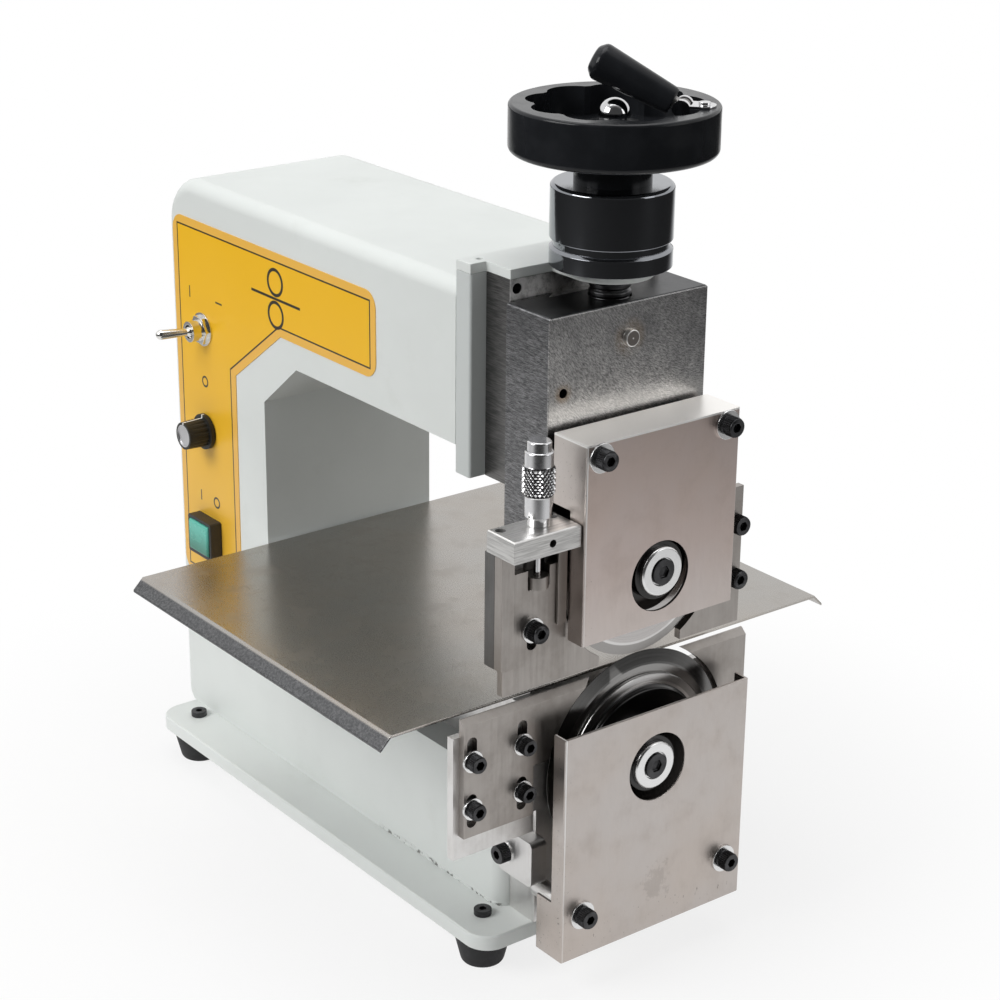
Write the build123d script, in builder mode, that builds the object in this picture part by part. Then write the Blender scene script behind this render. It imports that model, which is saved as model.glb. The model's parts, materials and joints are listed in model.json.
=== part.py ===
from build123d import *
import math
import os

# A bench machine that parts scored circuit board strips between two round blades.
# Millimetres, +Z up, +X from the column towards the blades, -Y the labelled side.

# Overall places
front_x = 182.35
floor_z = 0.0

# Feet and base plate
foot_height = 18.0
foot_top_radius = 15.0
foot_bottom_radius = 11.2
foot_edge_round = 1.2
foot_inset_front = 22.0
foot_inset_rear = 20.0
foot_inset_side = 17.0
base_thickness = 8.0
base_front_depth = 34.5
base_rear_depth = 357.0
base_side_ledge = 26.5
base_corner_radius = 13.0
base_edge_chamfer = 0.8
foot_screw_radius = 3.0
foot_screw_head_radius = 4.6
foot_screw_head_height = 3.2
foot_screw_reach = 12.0
foot_screw_hex_radius = 2.0
foot_screw_hex_depth = 1.8

# Housing: column, arm and lower leg in one C shape
housing_half_width = 55.5
housing_wall = 4.0
housing_rear_depth = 368.0
housing_top_z = 349.5
housing_rear_top_radius = 28.0
housing_rear_bottom_radius = 10.0
housing_edge_radius = 8.0
column_length = 99.0
throat_chamfer_run = 33.0
throat_chamfer_rise = 27.0
arm_bottom_z = 267.5
arm_front_depth = 94.0
leg_top_z = 98.4
leg_front_depth = 54.5
leg_edge_radius = 8.0
rear_opening_inset = 8.5
rear_opening_bottom_z = 44.0
rear_opening_top_z = 296.0
belt_slot_length = 26.0
belt_slot_half_width = 27.0

# Flange plate at the arm's end
flange_thickness = 11.5
flange_bottom_z = 253.0
flange_top_z = 355.8
flange_edge_round = 1.5

# Rear cover plate and its screws
rear_cover_thickness = 1.5
rear_cover_side_inset = 9.0
rear_cover_bottom_z = 34.0
rear_cover_top_z = 306.0
rear_cover_corner_radius = 5.0
rear_screw_low_z = 40.6
rear_screw_top_z = 283.4
rear_screw_inset = 4.0
rear_screw_head_radius = 3.6
rear_screw_head_height = 2.6
rear_screw_radius = 2.0
rear_screw_reach = 5.0
vent_slot_length = 44.0
vent_slot_width = 3.2
vent_pitch = 8.0
vent_count = 6
vent_centre_z = 246.0

# Power inlet on the rear cover
inlet_width = 48.0
inlet_height = 27.5
inlet_centre_z = 88.0
inlet_flange_thickness = 2.5
inlet_body_depth = 22.0
inlet_body_width = 27.0
inlet_body_height = 20.0
inlet_mouth_width = 24.0
inlet_mouth_height = 16.5
inlet_mouth_depth = 15.0
inlet_corner = 4.5
inlet_blade_width = 2.0
inlet_blade_height = 4.0
inlet_blade_length = 11.0
inlet_blade_spacing = 7.0
inlet_blade_offset = 2.0

# Control label on the side
label_thickness = 0.4
label_rear_inset = 7.5
label_right_depth = 161.0
label_top_z = 328.0
label_band_bottom_z = 282.2
label_diagonal_run = 47.0
label_diagonal_lead = 1.0
label_diagonal_bottom_z = 248.0
label_strip_width = 62.0
label_bottom_z = 112.0
label_corner_radius = 9.0

# Toggle switch
control_inset = 37.0
toggle_z = 266.5
toggle_bushing_radius = 5.9
toggle_bushing_length = 9.5
toggle_bushing_bore = 4.0
toggle_nut_radius = 8.6
toggle_nut_thickness = 2.4
toggle_washer_radius = 9.6
toggle_washer_thickness = 1.0
toggle_body_size = 17.0
toggle_body_depth = 24.0
toggle_lean = 15.0
toggle_pivot_inset = 1.5
toggle_ball_radius = 3.2
toggle_pin_radius = 1.1
toggle_pin_reach = 3.7
toggle_lever_root_radius = 2.0
toggle_lever_tip_radius = 2.9
toggle_lever_length = 20.0

# Speed knob and its potentiometer
knob_z = 206.0
knob_skirt_radius = 10.3
knob_skirt_thickness = 2.6
knob_body_radius = 8.4
knob_top_radius = 7.9
knob_height = 15.0
knob_cap_radius = 6.2
knob_cap_recess = 0.6
knob_flute_radius = 1.1
knob_flute_count = 18
knob_panel_gap = 0.5
pot_shaft_radius = 3.0
pot_shaft_reach = 11.0
pot_bush_radius = 3.8
pot_body_radius = 8.2
pot_body_depth = 10.0

# Power switch
switch_z = 142.0
switch_width = 25.0
switch_height = 23.0
switch_corner_radius = 1.6
switch_bezel = 7.6
switch_well = 6.9
switch_wall = 2.0
switch_body_depth = 18.0
button_gap = 0.25
button_proud = 1.2
button_length = 5.6
button_edge_round = 0.8

# Work table
table_top_z = 158.7
table_thickness = 1.5
table_front_depth = 33.2
table_column_gap = 3.5
table_half_width = 137.2
table_lip_run = 6.0
table_lip_drop = 6.0

# Table supports on the leg
support_column_gap = 17.0
support_length = 24.0
support_half_width = 42.0
support_wall = 5.0

# Lower bearing block
lower_axis_z = 113.7
upper_axis_z = 217.9
block_rear_depth = 140.0
block_half_width = 38.0
bearing_outer_radius = 15.0
bearing_inner_radius = 8.5
bearing_width = 11.0
bearing_groove_radius = 12.2
bearing_groove_depth = 0.8
bearing_bore_radius = 12.5
flange_way_radius = 15.0

# Front plate with the cover posts
front_plate_depth = 34.0
front_plate_half_width = 49.5
front_plate_top_z = 144.0
post_radius = 5.0

# Guide plates
guide_face_depth = 16.2
guide_thickness = 4.0
backing_thickness = 4.5
backing_left_y = 111.0
backing_right_y = 60.0
backing_top_z = 154.0
backing_bottom_z = 89.0
backing_tab_right_y = 62.0
backing_low_z = 100.0
guide_left_y = 107.5
guide_right_y = 71.5
knife_top_z = 163.5
knife_bevel = 3.0
knife_land = 0.8
lower_guide_bottom_z = 101.4
lower_guide_tab_right_y = 65.7
lower_guide_low_z = 128.0
lower_guide_cut_radius = 57.8
guide_screw_left_y = 102.8
guide_screw_right_y = 72.8
guide_screw_upper_z = 141.9
guide_screw_lower_z = 116.7
guide_slot_upper_z = 145.4
guide_slot_lower_z = 115.3
guide_slot_length = 17.7
guide_slot_radius = 2.9

# Cap screws
cap_radius = 5.0
cap_height = 6.0
cap_hex_radius = 2.5
cap_hex_depth = 3.0
cap_shank_radius = 2.5
washer_radius = 7.3
washer_thickness = 1.4
washer_small_radius = 6.3
guide_cap_radius = 4.3
guide_cap_height = 5.2
guide_washer_radius = 5.6
washer_bore = 2.6
screw_sink = 8.0

# Side tab on the front plate
tab_front_depth = 25.0
tab_rear_depth = 52.0
tab_thickness = 9.6
tab_bottom_z = 53.0
tab_top_z = 78.0
tab_screw_depth = 45.5
tab_screw_z = 65.0
tab_corner_radius = 3.0

# Lower cover
lower_cover_half_width = 59.2
lower_cover_bottom_z = 22.5
lower_cover_top_z = 145.5
lower_cover_depth = 20.2
lower_cover_strip = 8.9
lower_cover_step_z = 53.3
cover_sheet = 1.5
cover_bend_radius = 1.6
cover_hole_radius = 18.0
lower_cover_screw_y = 46.9
lower_cover_screw_z = 46.4

# Upper cover
upper_cover_face_depth = 3.4
upper_cover_half_width = 47.6
upper_cover_bottom_z = 190.2
upper_cover_top_z = 291.3
upper_cover_depth = 27.3
upper_cover_strip = 14.5
upper_cover_step_z = 256.3
upper_cover_screw_y = 39.2
upper_cover_screw_z = 284.2
upper_cover_hole_drop = 2.7

# Blades and spindles
blade_centre_depth = 18.0
blade_thickness = 3.2
lower_blade_radius = 55.8
upper_blade_radius = 48.0
blade_bevel = 7.5
blade_edge_width = 0.3
blade_bore = 11.0
hub_outer_radius = 44.0
hub_outer_thickness = 2.2
hub_mid_radius = 38.0
hub_mid_thickness = 3.0
upper_hub_outer_radius = 30.0
upper_hub_mid_radius = 24.0
hub_inner_radius = 15.0
ring_radius = 12.5
ring_inner_radius = 7.2
ring_thickness = 3.0
ring_front_depth = 1.4
ring_edge = 0.8
axle_head_radius = 6.5
axle_hex_radius = 3.4
axle_screw_radius = 4.0
axle_screw_reach = 24.0
shaft_radius = 8.45
shaft_flange_radius = 14.0
running_clearance = 0.05
pulley_gap = 6.0
pulley_width = 12.0
driven_pulley_radius = 22.0
motor_pulley_radius = 13.0
pulley_flange_radius_extra = 2.5
pulley_flange = 1.5
belt_width = 8.0
belt_thickness = 1.6
belt_gap = 0.3

# Motor
motor_axis_z = 61.0
motor_radius = 28.5
motor_gap = 4.0
motor_length = 86.0
motor_boss_radius = 10.0
motor_boss_length = 4.0
motor_shaft_radius = 4.0
motor_cap_radius = 20.0
motor_cap_length = 8.0
motor_foot_half_width = 24.0

# Fixed slide guide on the flange
slide_guide_half_width = 46.0
slide_guide_front_depth = 64.0
slide_guide_bottom_z = 253.0
slide_guide_top_z = 355.8
dovetail_root_half_width = 20.0
dovetail_tip_half_width = 27.0
dovetail_depth = 5.0
slide_clearance = 0.3
slide_hole_y = 42.0
slide_hole_z = 351.0
slide_hole_radius = 2.6
slide_hole_depth = 6.0

# Top plate and the fixed collar
top_plate_thickness = 5.0
top_plate_nose_radius = 21.0
top_hole_radius = 1.6
top_hole_y = 46.0
top_hole_depth = 88.0
top_hole_reach = 3.0
wheel_axis_depth = 46.5
collar_radius = 29.3
collar_base_top_z = 370.2
collar_edge_round = 1.4
collar_neck_radius = 27.6
collar_groove = 3.0
dial_top_z = 400.0
collar_running_gap = 0.3
screw_bore_clearance = 0.3

# Lead screw and handwheel
lead_screw_radius = 10.2
lead_screw_bottom_z = 268.0
thread_pitch = 4.0
thread_depth = 1.2
thread_visible_bottom_z = 340.0
thread_turns = 4
hub_neck_radius = 18.5
hub_neck_bottom_z = 400.0
wheel_radius = 49.3
wheel_bottom_z = 414.0
wheel_top_z = 437.0
wheel_rim_inner_radius = 37.5
wheel_top_round = 1.6
wheel_bottom_round = 3.0
wheel_web_top_z = 423.0
wheel_hub_radius = 15.0
wheel_hub_top_z = 427.0
scallop_radius = 13.5
scallop_count = 9
scallop_centre_radius = 28.5
lug_outer_radius = 43.0
lug_width = 14.6
screw_neck_radius = 5.0
dome_nut_radius = 7.6
dome_nut_rise = 4.5

# Folding handle
handle_angle = 40.0
handle_radius = 31.5
handle_pivot_z = 436.5
handle_tilt = 26.0
fork_width = 12.6
fork_plate_end = 47.0
fork_plate_thickness = 1.2
fork_gap = 6.4
fork_cheek_radius = 4.2
fork_screw_place = 41.5
fork_screw_radius = 2.8
fork_screw_height = 1.2
pivot_pin_radius = 1.8
eye_radius = 3.6
eye_thickness = 6.0
stud_radius = 2.8
stud_end = 40.0
grip_start = 5.0
grip_end = 47.0
grip_near_radius = 6.5
grip_far_radius = 9.0
grip_end_round = 3.5

# Slider block on the dovetail
block_front_depth = 31.0
block_back_depth = 63.6
block_side_y = 48.6
block_top_z = 345.5
block_bottom_z = 180.0
block_edge_chamfer = 0.8
block_pin_radius = 4.2
block_pin_proud = 2.6
block_pin_z = 328.0
block_hole_y = 39.8
block_hole_z = 307.7
block_hole_radius = 2.3
block_hole_depth = 10.0

# Guide carrier, rails and fine adjuster
carrier_half_left = 87.5
carrier_half_right = 66.0
carrier_plate_depth = 27.6
carrier_bottom_z = 183.7
carrier_top_z = 241.5
rail_front_depth = 14.5
rail_lip_width = 7.6
rail_right_lip_left_y = 54.0
rail_right_lip_right_y = 48.6
rail_right_bottom_z = 199.7
adjuster_pocket_below = 4.5
upper_guide_left_y = 85.4
upper_guide_bottom_z = 169.9
upper_guide_top_z = 231.0
upper_guide_inner_y = 26.0
upper_cut_radius = 50.2
guide_side_clearance = 0.1
lip_clearance = 0.1
right_guide_top_z = 243.3
right_guide_right_y = 64.9
right_guide_screw_y = 60.4
right_guide_screw_top_z = 224.0
right_guide_screw_low_z = 195.0
clamp_screw_y = 68.0
clamp_screw_z = 200.4
clamp_slot_rise = 5.0
clamp_slot_drop = 10.5
clamp_slot_radius = 2.8
bracket_front_depth = 5.4
bracket_rear_depth = 26.3
bracket_right_y = 48.2
bracket_height = 11.0
bracket_edge_chamfer = 0.7
bracket_hole_radius = 2.6
bracket_hole_depth = 5.0
bracket_hole_inset = 4.5
bracket_set_hole_y = 65.0
bracket_set_hole_radius = 1.9
adjuster_depth = 17.6
adjuster_y = 64.3
adjuster_pin_radius = 1.7
adjuster_pin_bottom_z = 224.5
adjuster_nut_radius = 5.5
adjuster_nut_top_z = 227.5
adjuster_nut_bottom_z = 221.0
adjuster_notch_half = 6.4
adjuster_base_radius = 5.3
adjuster_base_top_z = 256.5
adjuster_smooth_radius = 6.7
adjuster_smooth_top_z = 267.3
adjuster_knurl_radius = 8.0
adjuster_knurl_top_z = 282.2
adjuster_step_radius = 6.9
adjuster_step_top_z = 289.3
adjuster_cap_radius = 5.8
adjuster_cap_top_z = 294.2
adjuster_edge = 0.7
adjuster_seat_gap = 0.1

# Places worked out from the sizes above
base_top_z = foot_height + base_thickness
base_half_width = housing_half_width + base_side_ledge
guide_front_x = front_x - guide_face_depth
guide_back_x = guide_front_x - guide_thickness
backing_back_x = guide_back_x - backing_thickness
plate_front_x = front_x - front_plate_depth
leg_front_x = front_x - leg_front_depth
housing_rear_x = front_x - housing_rear_depth
column_front_x = housing_rear_x + column_length
arm_front_x = front_x - arm_front_depth
flange_front_x = arm_front_x + flange_thickness
guide_slide_front_x = front_x - slide_guide_front_depth
wheel_axis_x = front_x - wheel_axis_depth
block_front_x = front_x - block_front_depth
block_back_x = front_x - block_back_depth
upper_face_x = front_x - upper_cover_face_depth
control_x = housing_rear_x + control_inset
panel_y = -housing_half_width
label_y = panel_y - label_thickness
blade_x = front_x - blade_centre_depth
table_bottom_z = table_top_z - table_thickness
bracket_bottom_z = carrier_top_z
bracket_top_z = bracket_bottom_z + bracket_height
fork_top_z = wheel_top_z + fork_plate_thickness
lug_inner_radius = handle_radius + fork_cheek_radius
label_left_x = housing_rear_x + label_rear_inset
label_right_x = front_x - label_right_depth
label_strip_right_x = label_left_x + label_strip_width
pulley_plane_x = front_x - block_rear_depth - pulley_gap - pulley_width / 2
motor_x1 = pulley_plane_x - pulley_width / 2 - motor_gap - motor_boss_length
motor_x0 = motor_x1 - motor_length
base_front_x = front_x - base_front_depth
base_rear_x = front_x - base_rear_depth
foot_places = [
    (base_front_x - foot_inset_front, base_half_width - foot_inset_side),
    (base_front_x - foot_inset_front, foot_inset_side - base_half_width),
    (base_rear_x + foot_inset_rear, base_half_width - foot_inset_side),
    (base_rear_x + foot_inset_rear, foot_inset_side - base_half_width),
]
rear_cover_half_width = housing_half_width - rear_cover_side_inset
rear_screw_y = rear_cover_half_width - rear_screw_inset
rear_opening_half_width = rear_cover_half_width - rear_opening_inset
rear_screw_zs = (rear_screw_low_z, (rear_screw_low_z + rear_screw_top_z) / 2, rear_screw_top_z)
right_guide_screw_zs = (right_guide_screw_top_z, right_guide_screw_low_z)
guide_screw_places = [
    (-y, z)
    for y in (guide_screw_left_y, guide_screw_right_y)
    for z in (guide_screw_upper_z, guide_screw_lower_z)
]
guide_slot_places = [
    (-y, z)
    for y in (guide_screw_left_y, guide_screw_right_y)
    for z in (guide_slot_upper_z, guide_slot_lower_z)
]


def slab(x0, x1, y0, y1, z0, z1, mode=Mode.ADD):
    """A block between two corners."""
    with Locations(((x0 + x1) / 2, (y0 + y1) / 2, (z0 + z1) / 2)):
        Box(x1 - x0, y1 - y0, z1 - z0, mode=mode)


def rod_x(x0, x1, y, z, radius, mode=Mode.ADD):
    """A round bar along X."""
    with Locations(((x0 + x1) / 2, y, z)):
        Cylinder(radius, x1 - x0, rotation=(0, 90, 0), mode=mode)


def rod_y(x, y0, y1, z, radius, mode=Mode.ADD):
    """A round bar along Y."""
    with Locations((x, (y0 + y1) / 2, z)):
        Cylinder(radius, y1 - y0, rotation=(90, 0, 0), mode=mode)


def rod_z(x, y, z0, z1, radius, mode=Mode.ADD):
    """A round bar along Z."""
    with Locations((x, y, (z0 + z1) / 2)):
        Cylinder(radius, z1 - z0, mode=mode)


def cap_screw_x(x_seat, y, z, reach, head_radius=cap_radius, head_height=cap_height):
    """A cap screw whose head stands on x_seat and points to +X."""
    rod_x(x_seat, x_seat + head_height, y, z, head_radius)
    rod_x(x_seat - reach, x_seat, y, z, cap_shank_radius)
    with BuildSketch(Plane.YZ.offset(x_seat + head_height)) as socket:
        with Locations((y, z)):
            RegularPolygon(cap_hex_radius, 6)
    extrude(socket.sketch, amount=-cap_hex_depth, mode=Mode.SUBTRACT)


def washer_x(x0, y, z, radius):
    """A plain washer on the plane x0."""
    with BuildSketch(Plane.YZ.offset(x0)) as washer:
        with Locations((y, z)):
            Circle(radius)
            Circle(washer_bore, mode=Mode.SUBTRACT)
    extrude(washer.sketch, amount=washer_thickness)


def save(part, name):
    """Label the piece and write its file."""
    part.label = name
    export_step(part, "parts/" + name + ".step")


os.makedirs("parts", exist_ok=True)

# Base plate
with BuildPart() as base_plate:
    with BuildSketch(Plane.XY.offset(foot_height)):
        with Locations(((base_front_x + base_rear_x) / 2, 0)):
            RectangleRounded(base_front_x - base_rear_x, 2 * base_half_width, base_corner_radius)
    extrude(amount=base_thickness)
    chamfer(base_plate.faces().sort_by(Axis.Z)[-1].edges(), length=base_edge_chamfer)
    with Locations([(x, y, base_top_z) for x, y in foot_places]):
        Hole(foot_screw_radius, depth=base_thickness)
save(base_plate.part, "base_plate")

# Rubber feet
with BuildPart() as rubber_feet:
    for foot_x, foot_y in foot_places:
        with BuildSketch(Plane.XZ.offset(-foot_y)):
            with BuildLine():
                Polyline(
                    (foot_x, floor_z),
                    (foot_x + foot_bottom_radius - foot_edge_round, floor_z),
                    (foot_x + foot_bottom_radius, floor_z + foot_edge_round),
                    (foot_x + foot_top_radius, foot_height - foot_edge_round),
                    (foot_x + foot_top_radius - foot_edge_round, foot_height),
                    (foot_x, foot_height),
                    close=True,
                )
            make_face()
        revolve(axis=Axis((foot_x, foot_y, 0), (0, 0, 1)))
    with Locations([(x, y, foot_height) for x, y in foot_places]):
        Hole(foot_screw_radius, depth=foot_screw_reach - base_thickness + foot_edge_round)
save(rubber_feet.part, "rubber_feet")

# Housing in a C shape, hollow, with an opening in its rear wall
with BuildPart() as c_frame:
    with BuildSketch(Plane.XZ) as housing_outline:
        with BuildLine():
            Polyline(
                (housing_rear_x, base_top_z),
                (leg_front_x, base_top_z),
                (leg_front_x, leg_top_z),
                (column_front_x, leg_top_z),
                (column_front_x, arm_bottom_z - throat_chamfer_rise),
                (column_front_x + throat_chamfer_run, arm_bottom_z),
                (arm_front_x, arm_bottom_z),
                (arm_front_x, housing_top_z),
                (housing_rear_x, housing_top_z),
                close=True,
            )
        make_face()
        fillet(
            housing_outline.vertices().group_by(Axis.X)[0].sort_by(Axis.Y)[-1],
            radius=housing_rear_top_radius,
        )
        chamfer(
            housing_outline.vertices().group_by(Axis.X)[0].sort_by(Axis.Y)[0],
            length=housing_rear_bottom_radius,
        )
    extrude(amount=housing_half_width, both=True)
    outer_edges = c_frame.edges().filter_by(
        lambda e: abs(abs(e.center().Y) - housing_half_width) < housing_wall / 2
        and e.center().Z > housing_top_z - housing_wall / 2
    )
    fillet(outer_edges, radius=housing_edge_radius)
    leg_edges = c_frame.edges().filter_by(Axis.Z).filter_by(
        lambda e: e.center().X > leg_front_x - housing_wall and e.center().Z < leg_top_z
    )
    fillet(leg_edges, radius=leg_edge_radius)
    slab(
        housing_rear_x + housing_wall,
        leg_front_x - housing_wall,
        housing_wall - housing_half_width,
        housing_half_width - housing_wall,
        base_top_z + housing_wall,
        leg_top_z - housing_wall,
        mode=Mode.SUBTRACT,
    )
    slab(
        housing_rear_x + housing_wall,
        column_front_x - housing_wall,
        housing_edge_radius - housing_half_width,
        housing_half_width - housing_edge_radius,
        base_top_z + housing_wall,
        housing_top_z - housing_rear_top_radius,
        mode=Mode.SUBTRACT,
    )
    slab(
        column_front_x - housing_wall - housing_rear_top_radius,
        arm_front_x - housing_wall,
        housing_edge_radius - housing_half_width,
        housing_half_width - housing_edge_radius,
        arm_bottom_z + housing_wall,
        housing_top_z - housing_edge_radius,
        mode=Mode.SUBTRACT,
    )
    slab(
        housing_rear_x,
        housing_rear_x + housing_wall,
        -rear_opening_half_width,
        rear_opening_half_width,
        rear_opening_bottom_z,
        rear_opening_top_z,
        mode=Mode.SUBTRACT,
    )
    slab(
        pulley_plane_x - belt_slot_length / 2,
        pulley_plane_x + belt_slot_length / 2,
        -belt_slot_half_width,
        belt_slot_half_width,
        leg_top_z - housing_wall,
        leg_top_z,
        mode=Mode.SUBTRACT,
    )
    rod_y(control_x, panel_y, panel_y + housing_edge_radius, toggle_z, toggle_bushing_radius, Mode.SUBTRACT)
    rod_y(control_x, panel_y, panel_y + housing_edge_radius, knob_z, pot_bush_radius, Mode.SUBTRACT)
    slab(
        control_x - switch_width / 2 + switch_wall,
        control_x + switch_width / 2 - switch_wall,
        panel_y,
        panel_y + housing_edge_radius,
        switch_z - switch_height / 2 + switch_wall,
        switch_z + switch_height / 2 - switch_wall,
        mode=Mode.SUBTRACT,
    )
    for screw_z in rear_screw_zs:
        for screw_y in (-rear_screw_y, rear_screw_y):
            rod_x(
                housing_rear_x,
                housing_rear_x + housing_wall,
                screw_y,
                screw_z,
                rear_screw_radius,
                Mode.SUBTRACT,
            )
save(c_frame.part, "c_frame")

# Flange plate at the arm's end, with the notch below the arm
with BuildPart() as arm_flange:
    slab(arm_front_x, flange_front_x, -housing_half_width, housing_half_width, flange_bottom_z, flange_top_z)
    fillet(
        arm_flange.faces().sort_by(Axis.X)[-1].edges().filter_by(Axis.Z),
        radius=flange_edge_round,
    )
save(arm_flange.part, "arm_flange")

# Rear cover plate with ventilation slots
with BuildPart() as rear_cover:
    cover_centre_z = (rear_cover_bottom_z + rear_cover_top_z) / 2
    with BuildSketch(Plane.YZ.offset(housing_rear_x - rear_cover_thickness)):
        with Locations((0, cover_centre_z)):
            RectangleRounded(
                2 * rear_cover_half_width,
                rear_cover_top_z - rear_cover_bottom_z,
                rear_cover_corner_radius,
            )
        with Locations((0, vent_centre_z)):
            with GridLocations(vent_pitch, vent_pitch, 1, vent_count):
                SlotOverall(vent_slot_length, vent_slot_width, mode=Mode.SUBTRACT)
        with Locations((0, inlet_centre_z)):
            Rectangle(inlet_body_width, inlet_body_height, mode=Mode.SUBTRACT)
        with Locations([(y, z) for z in rear_screw_zs for y in (-rear_screw_y, rear_screw_y)]):
            Circle(rear_screw_radius, mode=Mode.SUBTRACT)
    extrude(amount=rear_cover_thickness)
save(rear_cover.part, "rear_cover")

# Screws of the feet and of the rear cover
with BuildPart() as housing_screws:
    for foot_x, foot_y in foot_places:
        rod_z(foot_x, foot_y, base_top_z - foot_screw_reach, base_top_z, foot_screw_radius)
        rod_z(foot_x, foot_y, base_top_z, base_top_z + foot_screw_head_height, foot_screw_head_radius)
    with BuildSketch(Plane.XY.offset(base_top_z + foot_screw_head_height)):
        with Locations(foot_places):
            RegularPolygon(foot_screw_hex_radius, 6)
    extrude(amount=-foot_screw_hex_depth, mode=Mode.SUBTRACT)
    screw_seat_x = housing_rear_x - rear_cover_thickness
    for screw_z in rear_screw_zs:
        for screw_y in (-rear_screw_y, rear_screw_y):
            rod_x(screw_seat_x - rear_screw_head_height, screw_seat_x, screw_y, screw_z, rear_screw_head_radius)
            rod_x(screw_seat_x, screw_seat_x + rear_screw_reach, screw_y, screw_z, rear_screw_radius)
    chamfer(
        housing_screws.faces().filter_by(Axis.X).group_by(Axis.X)[0].edges(),
        length=rear_screw_head_height / 3,
    )
save(housing_screws.part, "housing_screws")

# Power inlet in the rear cover
with BuildPart() as power_inlet:
    inlet_seat_x = housing_rear_x - rear_cover_thickness
    with BuildSketch(Plane.YZ.offset(inlet_seat_x - inlet_flange_thickness)):
        with Locations((0, inlet_centre_z)):
            RectangleRounded(inlet_width, inlet_height, inlet_corner)
    extrude(amount=inlet_flange_thickness)
    with BuildSketch(Plane.YZ.offset(inlet_seat_x)):
        with Locations((0, inlet_centre_z)):
            Rectangle(inlet_body_width, inlet_body_height)
    extrude(amount=inlet_body_depth)
    with BuildSketch(Plane.YZ.offset(inlet_seat_x - inlet_flange_thickness)):
        with Locations((0, inlet_centre_z)):
            Rectangle(inlet_mouth_width, inlet_mouth_height)
    extrude(amount=inlet_mouth_depth, mode=Mode.SUBTRACT)
    with BuildSketch(Plane.YZ.offset(inlet_seat_x - inlet_flange_thickness + inlet_mouth_depth)):
        with Locations(
            (-inlet_blade_spacing, inlet_centre_z - inlet_blade_offset),
            (0, inlet_centre_z + inlet_blade_offset),
            (inlet_blade_spacing, inlet_centre_z - inlet_blade_offset),
        ):
            Rectangle(inlet_blade_width, inlet_blade_height)
    extrude(amount=-inlet_blade_length)
save(power_inlet.part, "power_inlet")

# Control label: a wide band at the top and a strip down the column
with BuildPart() as control_label:
    with BuildSketch(Plane.XZ.offset(housing_half_width)) as label_outline:
        with BuildLine():
            Polyline(
                (label_left_x, label_top_z),
                (label_right_x, label_top_z),
                (label_right_x, label_band_bottom_z),
                (label_strip_right_x + label_diagonal_lead + label_diagonal_run, label_band_bottom_z),
                (label_strip_right_x + label_diagonal_lead, label_diagonal_bottom_z),
                (label_strip_right_x, label_bottom_z),
                (label_left_x, label_bottom_z),
                close=True,
            )
        make_face()
        outer_corners = label_outline.vertices().filter_by(
            lambda v: v.Y > label_top_z - label_thickness
            or v.Y < label_bottom_z + label_thickness
            or v.X > label_right_x - label_thickness
        )
        fillet(outer_corners, radius=label_corner_radius)
        with Locations((control_x, toggle_z)):
            Circle(toggle_bushing_radius, mode=Mode.SUBTRACT)
        with Locations((control_x, knob_z)):
            Circle(pot_bush_radius, mode=Mode.SUBTRACT)
        with Locations((control_x, switch_z)):
            Rectangle(
                switch_width - 2 * switch_wall,
                switch_height - 2 * switch_wall,
                mode=Mode.SUBTRACT,
            )
    extrude(amount=label_thickness)
save(control_label.part, "control_label")

# Toggle switch body, bushing, nut and washer
with BuildPart() as toggle_nut:
    rod_y(control_x, label_y - toggle_bushing_length, panel_y + housing_edge_radius, toggle_z, toggle_bushing_radius)
    rod_y(control_x, label_y - toggle_washer_thickness, label_y, toggle_z, toggle_washer_radius)
    with BuildSketch(Plane.XZ.offset(-label_y + toggle_washer_thickness)):
        with Locations((control_x, toggle_z)):
            RegularPolygon(toggle_nut_radius, 6)
    extrude(amount=toggle_nut_thickness)
    with Locations(
        (control_x, panel_y + housing_edge_radius + toggle_body_depth / 2, toggle_z)
    ):
        Box(toggle_body_size, toggle_body_depth, toggle_body_size)
    rod_y(
        control_x,
        label_y - toggle_bushing_length,
        panel_y + housing_wall,
        toggle_z,
        toggle_bushing_bore,
        Mode.SUBTRACT,
    )
save(toggle_nut.part, "toggle_nut")

# Toggle lever, leaning towards the rear
toggle_pivot_y = label_y - toggle_bushing_length + toggle_pivot_inset
lever_plane = Plane(
    origin=(control_x, toggle_pivot_y, toggle_z),
    x_dir=(0, 0, 1),
    z_dir=(-math.sin(math.radians(toggle_lean)), -math.cos(math.radians(toggle_lean)), 0),
)
with BuildPart(lever_plane) as toggle_lever:
    with BuildSketch(lever_plane * Plane.XZ) as lever_section:
        with BuildLine():
            Polyline(
                (0, 0),
                (toggle_lever_root_radius, 0),
                (toggle_lever_tip_radius, toggle_lever_length - toggle_lever_tip_radius),
                (0, toggle_lever_length - toggle_lever_tip_radius),
                close=True,
            )
        make_face()
    revolve(axis=Axis(lever_plane.origin, lever_plane.z_dir))
    Sphere(toggle_ball_radius)
    Cylinder(toggle_pin_radius, 2 * toggle_pin_reach, rotation=(0, 90, 0))
    with Locations((0, 0, toggle_lever_length - toggle_lever_tip_radius)):
        Sphere(toggle_lever_tip_radius)
save(toggle_lever.part, "toggle_lever")

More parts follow.
